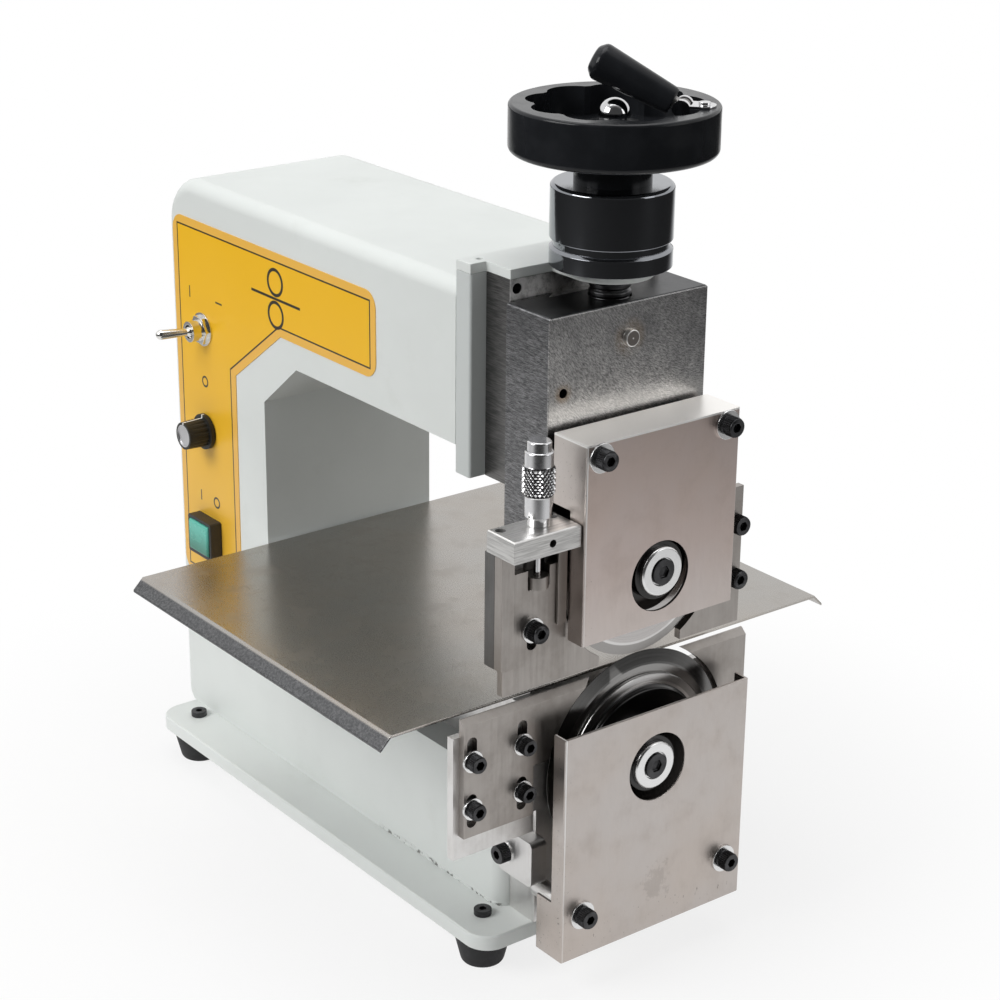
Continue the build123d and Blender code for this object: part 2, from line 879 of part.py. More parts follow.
# Speed knob: skirt, fluted body and light cap, bored for the control's shaft
knob_seat_y = label_y - knob_panel_gap
with BuildPart() as speed_knob:
    rod_y(control_x, knob_seat_y - knob_skirt_thickness, knob_seat_y, knob_z, knob_skirt_radius)
    with BuildSketch(Plane.XZ.offset(-knob_seat_y + knob_skirt_thickness)):
        with Locations((control_x, knob_z)):
            Circle(knob_body_radius)
    with BuildSketch(Plane.XZ.offset(-knob_seat_y + knob_height)):
        with Locations((control_x, knob_z)):
            Circle(knob_top_radius)
    loft()
    with BuildSketch(Plane.XZ.offset(-knob_seat_y + knob_skirt_thickness)):
        with Locations((control_x, knob_z)):
            with PolarLocations(knob_body_radius + knob_flute_radius / 2, knob_flute_count):
                Circle(knob_flute_radius)
    extrude(amount=knob_height, mode=Mode.SUBTRACT)
    with BuildSketch(Plane.XZ.offset(-knob_seat_y + knob_height)):
        with Locations((control_x, knob_z)):
            Circle(knob_cap_radius)
    extrude(amount=-knob_cap_recess, mode=Mode.SUBTRACT)
    rod_y(
        control_x,
        knob_seat_y - pot_shaft_reach,
        knob_seat_y,
        knob_z,
        pot_shaft_radius + running_clearance,
        Mode.SUBTRACT,
    )
save(speed_knob.part, "speed_knob")

# Speed control behind the panel, with its shaft
with BuildPart() as speed_control:
    rod_y(control_x, knob_seat_y - pot_shaft_reach + knob_cap_recess, label_y, knob_z, pot_shaft_radius)
    rod_y(control_x, label_y, panel_y + housing_edge_radius, knob_z, pot_bush_radius)
    rod_y(
        control_x,
        panel_y + housing_edge_radius,
        panel_y + housing_edge_radius + pot_body_depth,
        knob_z,
        pot_body_radius,
    )
save(speed_control.part, "speed_control")

# Power switch housing with its square well
with BuildPart() as switch_housing:
    with BuildSketch(Plane.XZ.offset(-label_y)):
        with Locations((control_x, switch_z)):
            RectangleRounded(switch_width, switch_height, switch_corner_radius)
    extrude(amount=switch_bezel)
    with BuildSketch(Plane.XZ.offset(-label_y)):
        with Locations((control_x, switch_z)):
            Rectangle(switch_width - 2 * switch_wall, switch_height - 2 * switch_wall)
    extrude(amount=-switch_body_depth)
    with BuildSketch(Plane.XZ.offset(-label_y + switch_bezel)):
        with Locations((control_x, switch_z)):
            Rectangle(
                switch_width - 2 * switch_wall,
                switch_height - 2 * switch_wall,
            )
    extrude(amount=-switch_well, mode=Mode.SUBTRACT)
save(switch_housing.part, "switch_housing")

# Power button
with BuildPart() as power_button:
    with BuildSketch(Plane.XZ.offset(-label_y + switch_bezel + button_proud - button_length)):
        with Locations((control_x, switch_z)):
            Rectangle(
                switch_width - 2 * switch_wall - 2 * button_gap,
                switch_height - 2 * switch_wall - 2 * button_gap,
            )
    extrude(amount=button_length)
    chamfer(power_button.faces().sort_by(Axis.Y)[0].edges(), length=button_edge_round)
save(power_button.part, "power_button")

# Work table: a sheet with its two side lips bent down
with BuildPart() as work_table:
    table_x0 = column_front_x + table_column_gap
    table_x1 = front_x - table_front_depth
    with BuildSketch(Plane.YZ.offset(table_x0)):
        with BuildLine():
            Polyline(
                (-table_half_width - table_lip_run, table_top_z - table_lip_drop),
                (-table_half_width, table_top_z),
                (table_half_width, table_top_z),
                (table_half_width + table_lip_run, table_top_z - table_lip_drop),
                (table_half_width + table_lip_run, table_top_z - table_lip_drop - table_thickness),
                (table_half_width, table_bottom_z),
                (-table_half_width, table_bottom_z),
                (-table_half_width - table_lip_run, table_top_z - table_lip_drop - table_thickness),
                close=True,
            )
        make_face()
    extrude(amount=table_x1 - table_x0)
save(work_table.part, "work_table")

# Upright supports between the leg and the table
with BuildPart() as table_supports:
    support_x0 = column_front_x + support_column_gap
    for side in (-1, 1):
        with Locations(
            (
                support_x0 + support_length / 2,
                side * (support_half_width - support_wall / 2),
                (leg_top_z + table_bottom_z) / 2,
            )
        ):
            Box(support_length, support_wall, table_bottom_z - leg_top_z)
    slab(
        support_x0,
        support_x0 + support_length,
        -support_half_width,
        support_half_width,
        table_bottom_z - support_wall,
        table_bottom_z,
    )
save(table_supports.part, "table_supports")

# Lower bearing block on the leg, bored for the spindle
with BuildPart() as bearing_block:
    block_x0 = front_x - block_rear_depth
    slab(block_x0, leg_front_x, -block_half_width, block_half_width, leg_top_z, table_bottom_z)
    rod_x(block_x0, leg_front_x, 0, lower_axis_z, bearing_bore_radius, Mode.SUBTRACT)
    for bearing_x0 in (block_x0, leg_front_x - bearing_width):
        rod_x(
            bearing_x0,
            bearing_x0 + bearing_width,
            0,
            lower_axis_z,
            bearing_outer_radius,
            Mode.SUBTRACT,
        )
save(bearing_block.part, "bearing_block")


def bearing(x0, z):
    """A closed ball bearing, from x0 on."""
    rod_x(x0, x0 + bearing_width, 0, z, bearing_outer_radius)
    rod_x(x0, x0 + bearing_width, 0, z, bearing_inner_radius, Mode.SUBTRACT)
    for groove_x in (x0, x0 + bearing_width - bearing_groove_depth):
        with BuildSketch(Plane.YZ.offset(groove_x)) as groove:
            with Locations((0, z)):
                Circle(bearing_groove_radius + bearing_groove_depth)
                Circle(bearing_groove_radius - 2 * bearing_groove_depth, mode=Mode.SUBTRACT)
        extrude(groove.sketch, amount=bearing_groove_depth, mode=Mode.SUBTRACT)


# Lower bearings
with BuildPart() as lower_bearings:
    bearing(front_x - block_rear_depth, lower_axis_z)
    bearing(leg_front_x - bearing_width, lower_axis_z)
save(lower_bearings.part, "lower_bearings")

# Front plate on the leg with the posts of the lower cover
cover_back_x = front_x - cover_sheet
with BuildPart() as front_plate:
    slab(
        leg_front_x,
        plate_front_x,
        -front_plate_half_width,
        front_plate_half_width,
        base_top_z,
        front_plate_top_z,
    )
    rod_x(leg_front_x, plate_front_x, 0, lower_axis_z, flange_way_radius, Mode.SUBTRACT)
    for side in (-1, 1):
        rod_x(
            plate_front_x,
            cover_back_x,
            side * lower_cover_screw_y,
            lower_cover_screw_z,
            post_radius,
        )
        rod_x(
            cover_back_x - screw_sink,
            cover_back_x,
            side * lower_cover_screw_y,
            lower_cover_screw_z,
            cap_shank_radius,
            Mode.SUBTRACT,
        )
save(front_plate.part, "front_plate")

# Backing plate of the lower guide, with its pad on the front plate and a round way for the hub
with BuildPart() as guide_backing_plate:
    slab(
        backing_back_x,
        guide_back_x,
        -backing_left_y,
        backing_right_y,
        backing_low_z,
        backing_top_z,
    )
    slab(
        backing_back_x,
        guide_back_x,
        -backing_left_y,
        -backing_tab_right_y,
        backing_bottom_z,
        backing_low_z,
    )
    slab(
        plate_front_x,
        backing_back_x,
        -front_plate_half_width,
        front_plate_half_width,
        backing_low_z,
        front_plate_top_z,
    )
    rod_x(plate_front_x, guide_back_x, 0, lower_axis_z, flange_way_radius, Mode.SUBTRACT)
    with Locations([(guide_back_x, y, z) for y, z in guide_screw_places]):
        Cylinder(
            cap_shank_radius,
            2 * screw_sink,
            rotation=(0, 90, 0),
            mode=Mode.SUBTRACT,
        )
save(guide_backing_plate.part, "guide_backing_plate")

# Lower guide plate: bevelled knife edge, slots and the round cut for the blade
with BuildPart() as lower_guide_plate:
    with BuildSketch(Plane.YZ.offset(guide_back_x)):
        with BuildLine():
            Polyline(
                (-guide_left_y, knife_top_z),
                (guide_right_y, knife_top_z),
                (guide_right_y, lower_guide_low_z),
                (-lower_guide_tab_right_y, lower_guide_low_z),
                (-lower_guide_tab_right_y, lower_guide_bottom_z),
                (-guide_left_y, lower_guide_bottom_z),
                close=True,
            )
        make_face()
        with Locations((0, lower_axis_z)):
            Circle(lower_guide_cut_radius, mode=Mode.SUBTRACT)
        with Locations(guide_slot_places):
            SlotOverall(guide_slot_length, 2 * guide_slot_radius, rotation=90, mode=Mode.SUBTRACT)
    extrude(amount=guide_thickness)
    with BuildSketch(Plane.XZ.offset(-guide_right_y)):
        with BuildLine():
            Polyline(
                (guide_back_x + knife_land, knife_top_z),
                (guide_front_x, knife_top_z),
                (guide_front_x, knife_top_z - knife_bevel),
                close=True,
            )
        make_face()
    extrude(amount=guide_right_y + guide_left_y, mode=Mode.SUBTRACT)
save(lower_guide_plate.part, "lower_guide_plate")

# Side tab beside the front plate
with BuildPart() as side_tab:
    with BuildSketch(Plane.XZ.offset(front_plate_half_width)) as tab_outline:
        with Locations(
            (
                front_x - (tab_front_depth + tab_rear_depth) / 2,
                (tab_bottom_z + tab_top_z) / 2,
            )
        ):
            Rectangle(tab_rear_depth - tab_front_depth, tab_top_z - tab_bottom_z)
        fillet(tab_outline.vertices(), radius=tab_corner_radius)
    extrude(amount=tab_thickness)
    rod_y(
        front_x - tab_screw_depth,
        -front_plate_half_width - tab_thickness,
        -front_plate_half_width,
        tab_screw_z,
        cap_shank_radius,
        Mode.SUBTRACT,
    )
save(side_tab.part, "side_tab")

# Lower cover: a bent sheet, open at the top and at the back
with BuildPart() as lower_cover:
    slab(
        cover_back_x,
        front_x,
        -lower_cover_half_width,
        lower_cover_half_width,
        lower_cover_bottom_z,
        lower_cover_top_z,
    )
    for side in (-1, 1):
        wall_y = side * (lower_cover_half_width - cover_sheet / 2)
        with Locations(
            (
                front_x - lower_cover_depth / 2 - cover_sheet / 2,
                wall_y,
                (lower_cover_bottom_z + lower_cover_step_z) / 2,
            )
        ):
            Box(
                lower_cover_depth - cover_sheet,
                cover_sheet,
                lower_cover_step_z - lower_cover_bottom_z,
            )
        with Locations(
            (
                front_x - lower_cover_strip / 2 - cover_sheet / 2,
                wall_y,
                (lower_cover_step_z + lower_cover_top_z) / 2,
            )
        ):
            Box(
                lower_cover_strip - cover_sheet,
                cover_sheet,
                lower_cover_top_z - lower_cover_step_z,
            )
    slab(
        front_x - lower_cover_depth,
        cover_back_x,
        cover_sheet - lower_cover_half_width,
        lower_cover_half_width - cover_sheet,
        lower_cover_bottom_z,
        lower_cover_bottom_z + cover_sheet,
    )
    rod_x(cover_back_x, front_x, 0, lower_axis_z, cover_hole_radius, Mode.SUBTRACT)
    for side in (-1, 1):
        rod_x(
            cover_back_x,
            front_x,
            side * lower_cover_screw_y,
            lower_cover_screw_z,
            cap_shank_radius,
            Mode.SUBTRACT,
        )
    fillet(
        lower_cover.edges().filter_by(Axis.Z).filter_by(
            lambda e: e.center().X > front_x - cover_sheet / 2
        ),
        radius=cover_bend_radius / 2,
    )
save(lower_cover.part, "lower_cover")

# Cap screws of the lower guide, the side tab and the lower cover
lower_screw_seat = guide_front_x + washer_thickness
with BuildPart() as lower_screws:
    for screw_y, screw_z in guide_screw_places:
        cap_screw_x(
            lower_screw_seat,
            screw_y,
            screw_z,
            washer_thickness + guide_thickness + screw_sink,
            guide_cap_radius,
            guide_cap_height,
        )
    for side in (-1, 1):
        cap_screw_x(
            front_x + washer_thickness,
            side * lower_cover_screw_y,
            lower_cover_screw_z,
            washer_thickness + cover_sheet + screw_sink,
        )
    tab_face_y = -front_plate_half_width - tab_thickness
    rod_y(front_x - tab_screw_depth, tab_face_y - cap_height, tab_face_y, tab_screw_z, cap_radius)
    rod_y(front_x - tab_screw_depth, tab_face_y, -front_plate_half_width, tab_screw_z, cap_shank_radius)
    with BuildSketch(Plane.XZ.offset(-tab_face_y + cap_height)):
        with Locations((front_x - tab_screw_depth, tab_screw_z)):
            RegularPolygon(cap_hex_radius, 6)
    extrude(amount=-cap_hex_depth, mode=Mode.SUBTRACT)
save(lower_screws.part, "lower_screws")

# Washers of the lower guide and the lower cover
with BuildPart() as lower_washers:
    for screw_y, screw_z in guide_screw_places:
        washer_x(guide_front_x, screw_y, screw_z, guide_washer_radius)
    for side in (-1, 1):
        washer_x(front_x, side * lower_cover_screw_y, lower_cover_screw_z, washer_radius)
save(lower_washers.part, "lower_washers")


def blade_profile(radius, axis_z):
    """A round blade with a bevel on both faces up to its edge."""
    with BuildSketch(Plane.XZ) as section:
        with BuildLine():
            Polyline(
                (blade_x - blade_thickness / 2, axis_z + blade_bore),
                (blade_x + blade_thickness / 2, axis_z + blade_bore),
                (blade_x + blade_thickness / 2, axis_z + radius - blade_bevel),
                (blade_x + blade_edge_width / 2, axis_z + radius),
                (blade_x - blade_edge_width / 2, axis_z + radius),
                (blade_x - blade_thickness / 2, axis_z + radius - blade_bevel),
                close=True,
            )
        make_face()
    revolve(section.sketch, axis=Axis((blade_x, 0, axis_z), (1, 0, 0)))


def hub_profile(outer, middle, axis_z):
    """A stepped clamping hub in front of a blade, up to the ring."""
    blade_front = blade_x + blade_thickness / 2
    with BuildSketch(Plane.XZ) as section:
        with BuildLine():
            Polyline(
                (blade_front, axis_z + axle_screw_radius),
                (blade_front, axis_z + outer),
                (blade_front + hub_outer_thickness, axis_z + outer),
                (blade_front + hub_outer_thickness, axis_z + middle),
                (blade_front + hub_outer_thickness + hub_mid_thickness, axis_z + middle - ring_edge),
                (blade_front + hub_outer_thickness + hub_mid_thickness, axis_z + hub_inner_radius),
                (front_x - ring_front_depth - ring_thickness, axis_z + hub_inner_radius),
                (front_x - ring_front_depth - ring_thickness, axis_z + axle_screw_radius),
                close=True,
            )
        make_face()
    revolve(section.sketch, axis=Axis((blade_x, 0, axis_z), (1, 0, 0)))


def ring_profile(axis_z):
    """The bright ring under the axle screw's head."""
    ring_x1 = front_x - ring_front_depth
    with BuildSketch(Plane.XZ) as section:
        with BuildLine():
            Polyline(
                (ring_x1 - ring_thickness, axis_z + axle_screw_radius),
                (ring_x1 - ring_thickness, axis_z + ring_radius),
                (ring_x1 - ring_edge, axis_z + ring_radius),
                (ring_x1, axis_z + ring_radius - ring_edge),
                (ring_x1, axis_z + ring_inner_radius),
                (ring_x1 - ring_thickness / 2, axis_z + ring_inner_radius),
                (ring_x1 - ring_thickness / 2, axis_z + axle_screw_radius),
                close=True,
            )
        make_face()
    revolve(section.sketch, axis=Axis((blade_x, 0, axis_z), (1, 0, 0)))


def axle_screw(axis_z):
    """The cap screw in a spindle's end."""
    head_x0 = front_x - ring_front_depth - ring_thickness / 2
    head_x1 = front_x - ring_front_depth + ring_edge
    rod_x(head_x0, head_x1, 0, axis_z, axle_head_radius)
    rod_x(head_x0 - axle_screw_reach, head_x0, 0, axis_z, axle_screw_radius)
    with BuildSketch(Plane.YZ.offset(head_x1)) as socket:
        with Locations((0, axis_z)):
            RegularPolygon(axle_hex_radius, 6)
    extrude(socket.sketch, amount=-ring_thickness / 2, mode=Mode.SUBTRACT)


def spindle(axis_z, rear_x):
    """A spindle with the flange its blade is clamped to."""
    blade_back = blade_x - blade_thickness / 2
    with BuildSketch(Plane.XZ) as section:
        with BuildLine():
            Polyline(
                (rear_x, axis_z),
                (rear_x, axis_z + shaft_radius),
                (blade_back - hub_mid_thickness, axis_z + shaft_radius),
                (blade_back - hub_mid_thickness, axis_z + shaft_flange_radius),
                (blade_back, axis_z + shaft_flange_radius),
                (blade_back, axis_z + blade_bore),
                (blade_x + blade_thickness / 2, axis_z + blade_bore),
                (blade_x + blade_thickness / 2, axis_z),
                close=True,
            )
        make_face()
    revolve(section.sketch, axis=Axis((blade_x, 0, axis_z), (1, 0, 0)))
    screw_x0 = front_x - ring_front_depth - ring_thickness / 2 - axle_screw_reach
    rod_x(screw_x0, blade_x + blade_thickness / 2, 0, axis_z, axle_screw_radius, Mode.SUBTRACT)


# Lower spindle and what turns with it
lower_shaft_rear_x = pulley_plane_x - pulley_width / 2
with BuildPart() as lower_shaft:
    spindle(lower_axis_z, lower_shaft_rear_x)
save(lower_shaft.part, "lower_shaft")

with BuildPart() as lower_blade:
    blade_profile(lower_blade_radius, lower_axis_z)
save(lower_blade.part, "lower_blade")

with BuildPart() as lower_hub:
    hub_profile(hub_outer_radius, hub_mid_radius, lower_axis_z)
save(lower_hub.part, "lower_hub")

with BuildPart() as lower_ring:
    ring_profile(lower_axis_z)
save(lower_ring.part, "lower_ring")

with BuildPart() as lower_axle_screw:
    axle_screw(lower_axis_z)
save(lower_axle_screw.part, "lower_axle_screw")


def pulley(axis_z, radius, bore):
    """A flat belt pulley with a flange at each side."""
    pulley_x0 = pulley_plane_x - pulley_width / 2
    pulley_x1 = pulley_plane_x + pulley_width / 2
    rod_x(pulley_x0, pulley_x1, 0, axis_z, radius)
    for flange_x in (pulley_x0, pulley_x1 - pulley_flange):
        rod_x(flange_x, flange_x + pulley_flange, 0, axis_z, radius + pulley_flange_radius_extra)
    rod_x(pulley_x0, pulley_x1, 0, axis_z, bore, Mode.SUBTRACT)


with BuildPart() as driven_pulley:
    pulley(lower_axis_z, driven_pulley_radius, shaft_radius)
save(driven_pulley.part, "driven_pulley")

# Motor with its foot on the floor of the leg
with BuildPart() as motor:
    rod_x(motor_x0, motor_x1, 0, motor_axis_z, motor_radius)
    rod_x(motor_x1, motor_x1 + motor_boss_length, 0, motor_axis_z, motor_boss_radius)
    rod_x(motor_x0 - motor_cap_length, motor_x0, 0, motor_axis_z, motor_cap_radius)
    slab(
        motor_x0 + motor_cap_length,
        motor_x1 - motor_cap_length,
        -motor_foot_half_width,
        motor_foot_half_width,
        base_top_z + housing_wall,
        motor_axis_z,
    )
    rod_x(
        motor_x0,
        motor_x1 + motor_boss_length,
        0,
        motor_axis_z,
        motor_shaft_radius + running_clearance,
        Mode.SUBTRACT,
    )
save(motor.part, "motor")

# Motor shaft with its pulley
with BuildPart() as motor_pulley:
    pulley(motor_axis_z, motor_pulley_radius, motor_shaft_radius)
    rod_x(
        motor_x0 + motor_cap_length,
        pulley_plane_x + pulley_width / 2,
        0,
        motor_axis_z,
        motor_shaft_radius,
    )
save(motor_pulley.part, "motor_pulley")

# Flat belt around both pulleys
belt_lean = math.degrees(
    math.asin((driven_pulley_radius - motor_pulley_radius) / (lower_axis_z - motor_axis_z))
)


def belt_loop(offset, mode):
    """The closed line at one offset from both pulleys."""
    with BuildLine() as loop:
        upper_arc = CenterArc(
            (0, lower_axis_z),
            driven_pulley_radius + offset,
            -belt_lean,
            180 + 2 * belt_lean,
        )
        lower_arc = CenterArc(
            (0, motor_axis_z),
            motor_pulley_radius + offset,
            180 + belt_lean,
            180 - 2 * belt_lean,
        )
        Line(upper_arc @ 1, lower_arc @ 0)
        Line(lower_arc @ 1, upper_arc @ 0)
    make_face(loop.edges(), mode=mode)


with BuildPart() as drive_belt:
    with BuildSketch(Plane.YZ.offset(pulley_plane_x - belt_width / 2)):
        belt_loop(belt_gap + belt_thickness, Mode.ADD)
        belt_loop(belt_gap, Mode.SUBTRACT)
    extrude(amount=belt_width)
save(drive_belt.part, "drive_belt")

# Fixed slide guide with the dovetail
with BuildPart() as slide_guide:
    slab(
        flange_front_x,
        guide_slide_front_x,
        -slide_guide_half_width,
        slide_guide_half_width,
        slide_guide_bottom_z,
        slide_guide_top_z,
    )
    with BuildSketch(Plane.XY.offset(slide_guide_bottom_z)):
        with BuildLine():
            Polyline(
                (guide_slide_front_x, -dovetail_root_half_width),
                (guide_slide_front_x + dovetail_depth, -dovetail_tip_half_width),
                (guide_slide_front_x + dovetail_depth, dovetail_tip_half_width),
                (guide_slide_front_x, dovetail_root_half_width),
                close=True,
            )
        make_face()
    extrude(amount=block_top_z - slide_guide_bottom_z)
    for side in (-1, 1):
        rod_x(
            guide_slide_front_x - slide_hole_depth,
            guide_slide_front_x,
            side * slide_hole_y,
            slide_hole_z,
            slide_hole_radius,
            Mode.SUBTRACT,
        )
save(slide_guide.part, "slide_guide")

# Top plate over the flange, with the round nose under the collar
with BuildPart() as top_plate:
    with BuildSketch(Plane.XY.offset(slide_guide_top_z)):
        with BuildLine():
            Polyline(
                (arm_front_x, -housing_half_width),
                (flange_front_x, -housing_half_width),
                (flange_front_x, -slide_guide_half_width),
                (guide_slide_front_x, -slide_guide_half_width),
                (guide_slide_front_x, slide_guide_half_width),
                (flange_front_x, slide_guide_half_width),
                (flange_front_x, housing_half_width),
                (arm_front_x, housing_half_width),
                close=True,
            )
        make_face()
        with Locations((wheel_axis_x, 0)):
            Circle(top_plate_nose_radius)
        with Locations(((guide_slide_front_x + wheel_axis_x) / 2, 0)):
            Rectangle(wheel_axis_x - guide_slide_front_x, 2 * top_plate_nose_radius)
        with Locations((wheel_axis_x, 0)):
            Circle(lead_screw_radius + screw_bore_clearance, mode=Mode.SUBTRACT)
    extrude(amount=top_plate_thickness)
    rod_z(
        front_x - top_hole_depth,
        -top_hole_y,
        slide_guide_top_z + top_plate_thickness - top_hole_reach,
        slide_guide_top_z + top_plate_thickness,
        top_hole_radius,
        Mode.SUBTRACT,
    )
save(top_plate.part, "top_plate")

# Fixed lower part of the collar
collar_bottom_z = slide_guide_top_z + top_plate_thickness
with BuildPart() as collar_base:
    rod_z(wheel_axis_x, 0, collar_bottom_z, collar_base_top_z, collar_radius)
    chamfer(collar_base.faces().sort_by(Axis.Z)[-1].edges(), length=collar_edge_round)
    rod_z(
        wheel_axis_x,
        0,
        collar_base_top_z,
        collar_base_top_z + collar_groove,
        collar_neck_radius,
    )
    rod_z(
        wheel_axis_x,
        0,
        collar_bottom_z,
        collar_base_top_z + collar_groove,
        lead_screw_radius + screw_bore_clearance,
        Mode.SUBTRACT,
    )
save(collar_base.part, "collar_base")

# Turning upper part of the collar, with a scale of fine lines
dial_bottom_z = collar_base_top_z + collar_groove + collar_running_gap
with BuildPart() as dial_collar:
    rod_z(wheel_axis_x, 0, dial_bottom_z, dial_top_z, collar_radius)
    chamfer(dial_collar.faces().sort_by(Axis.Z)[-1].edges(), length=collar_edge_round)
    rod_z(wheel_axis_x, 0, dial_bottom_z, dial_top_z, lead_screw_radius, Mode.SUBTRACT)
save(dial_collar.part, "dial_collar")

# Lead screw: threaded bar, plain neck for the wheel
with BuildPart() as lead_screw:
    rod_z(wheel_axis_x, 0, lead_screw_bottom_z, hub_neck_bottom_z, lead_screw_radius)
    rod_z(
        wheel_axis_x,
        0,
        hub_neck_bottom_z,
        wheel_hub_top_z + dome_nut_rise,
        screw_neck_radius,
    )
    for turn in range(thread_turns):
        groove_z = thread_visible_bottom_z + turn * thread_pitch
        with BuildSketch(Plane.XZ):
            with BuildLine():
                Polyline(
                    (wheel_axis_x + lead_screw_radius - thread_depth, groove_z + thread_depth),
                    (wheel_axis_x + lead_screw_radius, groove_z),
                    (wheel_axis_x + lead_screw_radius, groove_z + 2 * thread_depth),
                    close=True,
                )
            make_face()
        revolve(axis=Axis((wheel_axis_x, 0, 0), (0, 0, 1)), mode=Mode.SUBTRACT)
save(lead_screw.part, "lead_screw")

# Handwheel: deep rim with finger scallops, web, hub and neck, and the lug that holds the handle
handle_turn = Location((wheel_axis_x, 0, 0), (0, 0, handle_angle))
with BuildPart() as handwheel:
    with BuildSketch(Plane.XZ) as wheel_section:
        with BuildLine():
            Polyline(
                (wheel_axis_x + screw_neck_radius, hub_neck_bottom_z),
                (wheel_axis_x + hub_neck_radius, hub_neck_bottom_z),
                (wheel_axis_x + hub_neck_radius, wheel_bottom_z),
                (wheel_axis_x + wheel_radius, wheel_bottom_z),
                (wheel_axis_x + wheel_radius, wheel_top_z),
                (wheel_axis_x + wheel_rim_inner_radius, wheel_top_z),
                (wheel_axis_x + wheel_rim_inner_radius, wheel_web_top_z),
                (wheel_axis_x + wheel_hub_radius, wheel_web_top_z),
                (wheel_axis_x + wheel_hub_radius, wheel_hub_top_z),
                (wheel_axis_x + screw_neck_radius, wheel_hub_top_z),
                close=True,
            )
        make_face()
        fillet(
            wheel_section.vertices().group_by(Axis.X)[-1].sort_by(Axis.Y)[0],
            radius=wheel_bottom_round,
        )
        fillet(
            wheel_section.vertices().group_by(Axis.X)[-1].sort_by(Axis.Y)[-1],
            radius=wheel_top_round,
        )
    revolve(axis=Axis((wheel_axis_x, 0, 0), (0, 0, 1)))
    with BuildSketch(Plane.XY.offset(wheel_web_top_z)):
        with Locations((wheel_axis_x, 0)):
            with PolarLocations(
                scallop_centre_radius,
                scallop_count,
                start_angle=handle_angle + 180 / scallop_count,
            ):
                Circle(scallop_radius)
    extrude(amount=wheel_top_z - wheel_web_top_z, mode=Mode.SUBTRACT)
    with Locations(handle_turn):
        slab(
            lug_inner_radius,
            lug_outer_radius,
            -lug_width / 2,
            lug_width / 2,
            wheel_web_top_z,
            wheel_top_z,
        )
save(handwheel.part, "handwheel")

# Ball nut on the wheel
with BuildPart() as dome_nut:
    with Locations((wheel_axis_x, 0, wheel_hub_top_z + dome_nut_rise)):
        Sphere(dome_nut_radius)
    rod_z(
        wheel_axis_x,
        0,
        wheel_hub_top_z - dome_nut_rise,
        wheel_hub_top_z + dome_nut_rise,
        screw_neck_radius,
        Mode.SUBTRACT,
    )
    split(bisect_by=Plane.XY.offset(wheel_hub_top_z), keep=Keep.TOP)
save(dome_nut.part, "dome_nut")

# Fork of the folding handle: a round-ended plate on the rim, two cheeks, cross pin and screw
with BuildPart() as handle_fork:
    with Locations(handle_turn):
        slab(
            lug_inner_radius,
            fork_plate_end - fork_width / 2,
            -fork_width / 2,
            fork_width / 2,
            wheel_top_z,
            fork_top_z,
        )
        rod_z(fork_plate_end - fork_width / 2, 0, wheel_top_z, fork_top_z, fork_width / 2)
        slab(
            handle_radius,
            lug_inner_radius,
            -fork_width / 2,
            fork_width / 2,
            wheel_top_z,
            fork_top_z,
            mode=Mode.SUBTRACT,
        )
        rod_z(fork_screw_place, 0, fork_top_z, fork_top_z + fork_screw_height, fork_screw_radius)
        for cheek_y in (-fork_width / 2, fork_gap / 2):
            cheek_end_y = cheek_y + (fork_width - fork_gap) / 2
            rod_y(handle_radius, cheek_y, cheek_end_y, handle_pivot_z, fork_cheek_radius)
            slab(
                handle_radius,
                lug_inner_radius,
                cheek_y,
                cheek_end_y,
                handle_pivot_z - fork_cheek_radius,
                fork_top_z,
            )
        rod_y(handle_radius, -fork_width / 2, fork_width / 2, handle_pivot_z, pivot_pin_radius)
save(handle_fork.part, "handle_fork")

# Stud of the handle, on the cross pin
handle_plane = Plane(
    origin=(
        wheel_axis_x + handle_radius * math.cos(math.radians(handle_angle)),
        handle_radius * math.sin(math.radians(handle_angle)),
        handle_pivot_z,
    ),
    x_dir=(-math.sin(math.radians(handle_angle)), math.cos(math.radians(handle_angle)), 0),
    z_dir=(
        -math.cos(math.radians(handle_angle)) * math.cos(math.radians(handle_tilt)),
        -math.sin(math.radians(handle_angle)) * math.cos(math.radians(handle_tilt)),
        math.sin(math.radians(handle_tilt)),
    ),
)
with BuildPart(handle_plane) as handle_stud:
    with Locations((0, 0, stud_end / 2)):
        Cylinder(stud_radius, stud_end)
    Cylinder(eye_radius, eye_thickness, rotation=(0, 90, 0))
    Cylinder(
        pivot_pin_radius + running_clearance,
        2 * eye_thickness,
        rotation=(0, 90, 0),
        mode=Mode.SUBTRACT,
    )
save(handle_stud.part, "handle_stud")

# Grip that spins on the stud
with BuildPart(handle_plane) as handle_grip:
    with BuildSketch(handle_plane * Plane.XZ) as grip_section:
        with BuildLine():
            Polyline(
                (stud_radius + running_clearance, grip_start),
                (grip_near_radius, grip_start),
                (grip_far_radius, grip_end - grip_end_round),
                (grip_far_radius - grip_end_round, grip_end),
                (0, grip_end),
                (0, stud_end + collar_running_gap),
                (stud_radius + running_clearance, stud_end + collar_running_gap),
                close=True,
            )
        make_face()
    revolve(axis=Axis(handle_plane.origin, handle_plane.z_dir))
save(handle_grip.part, "handle_grip")

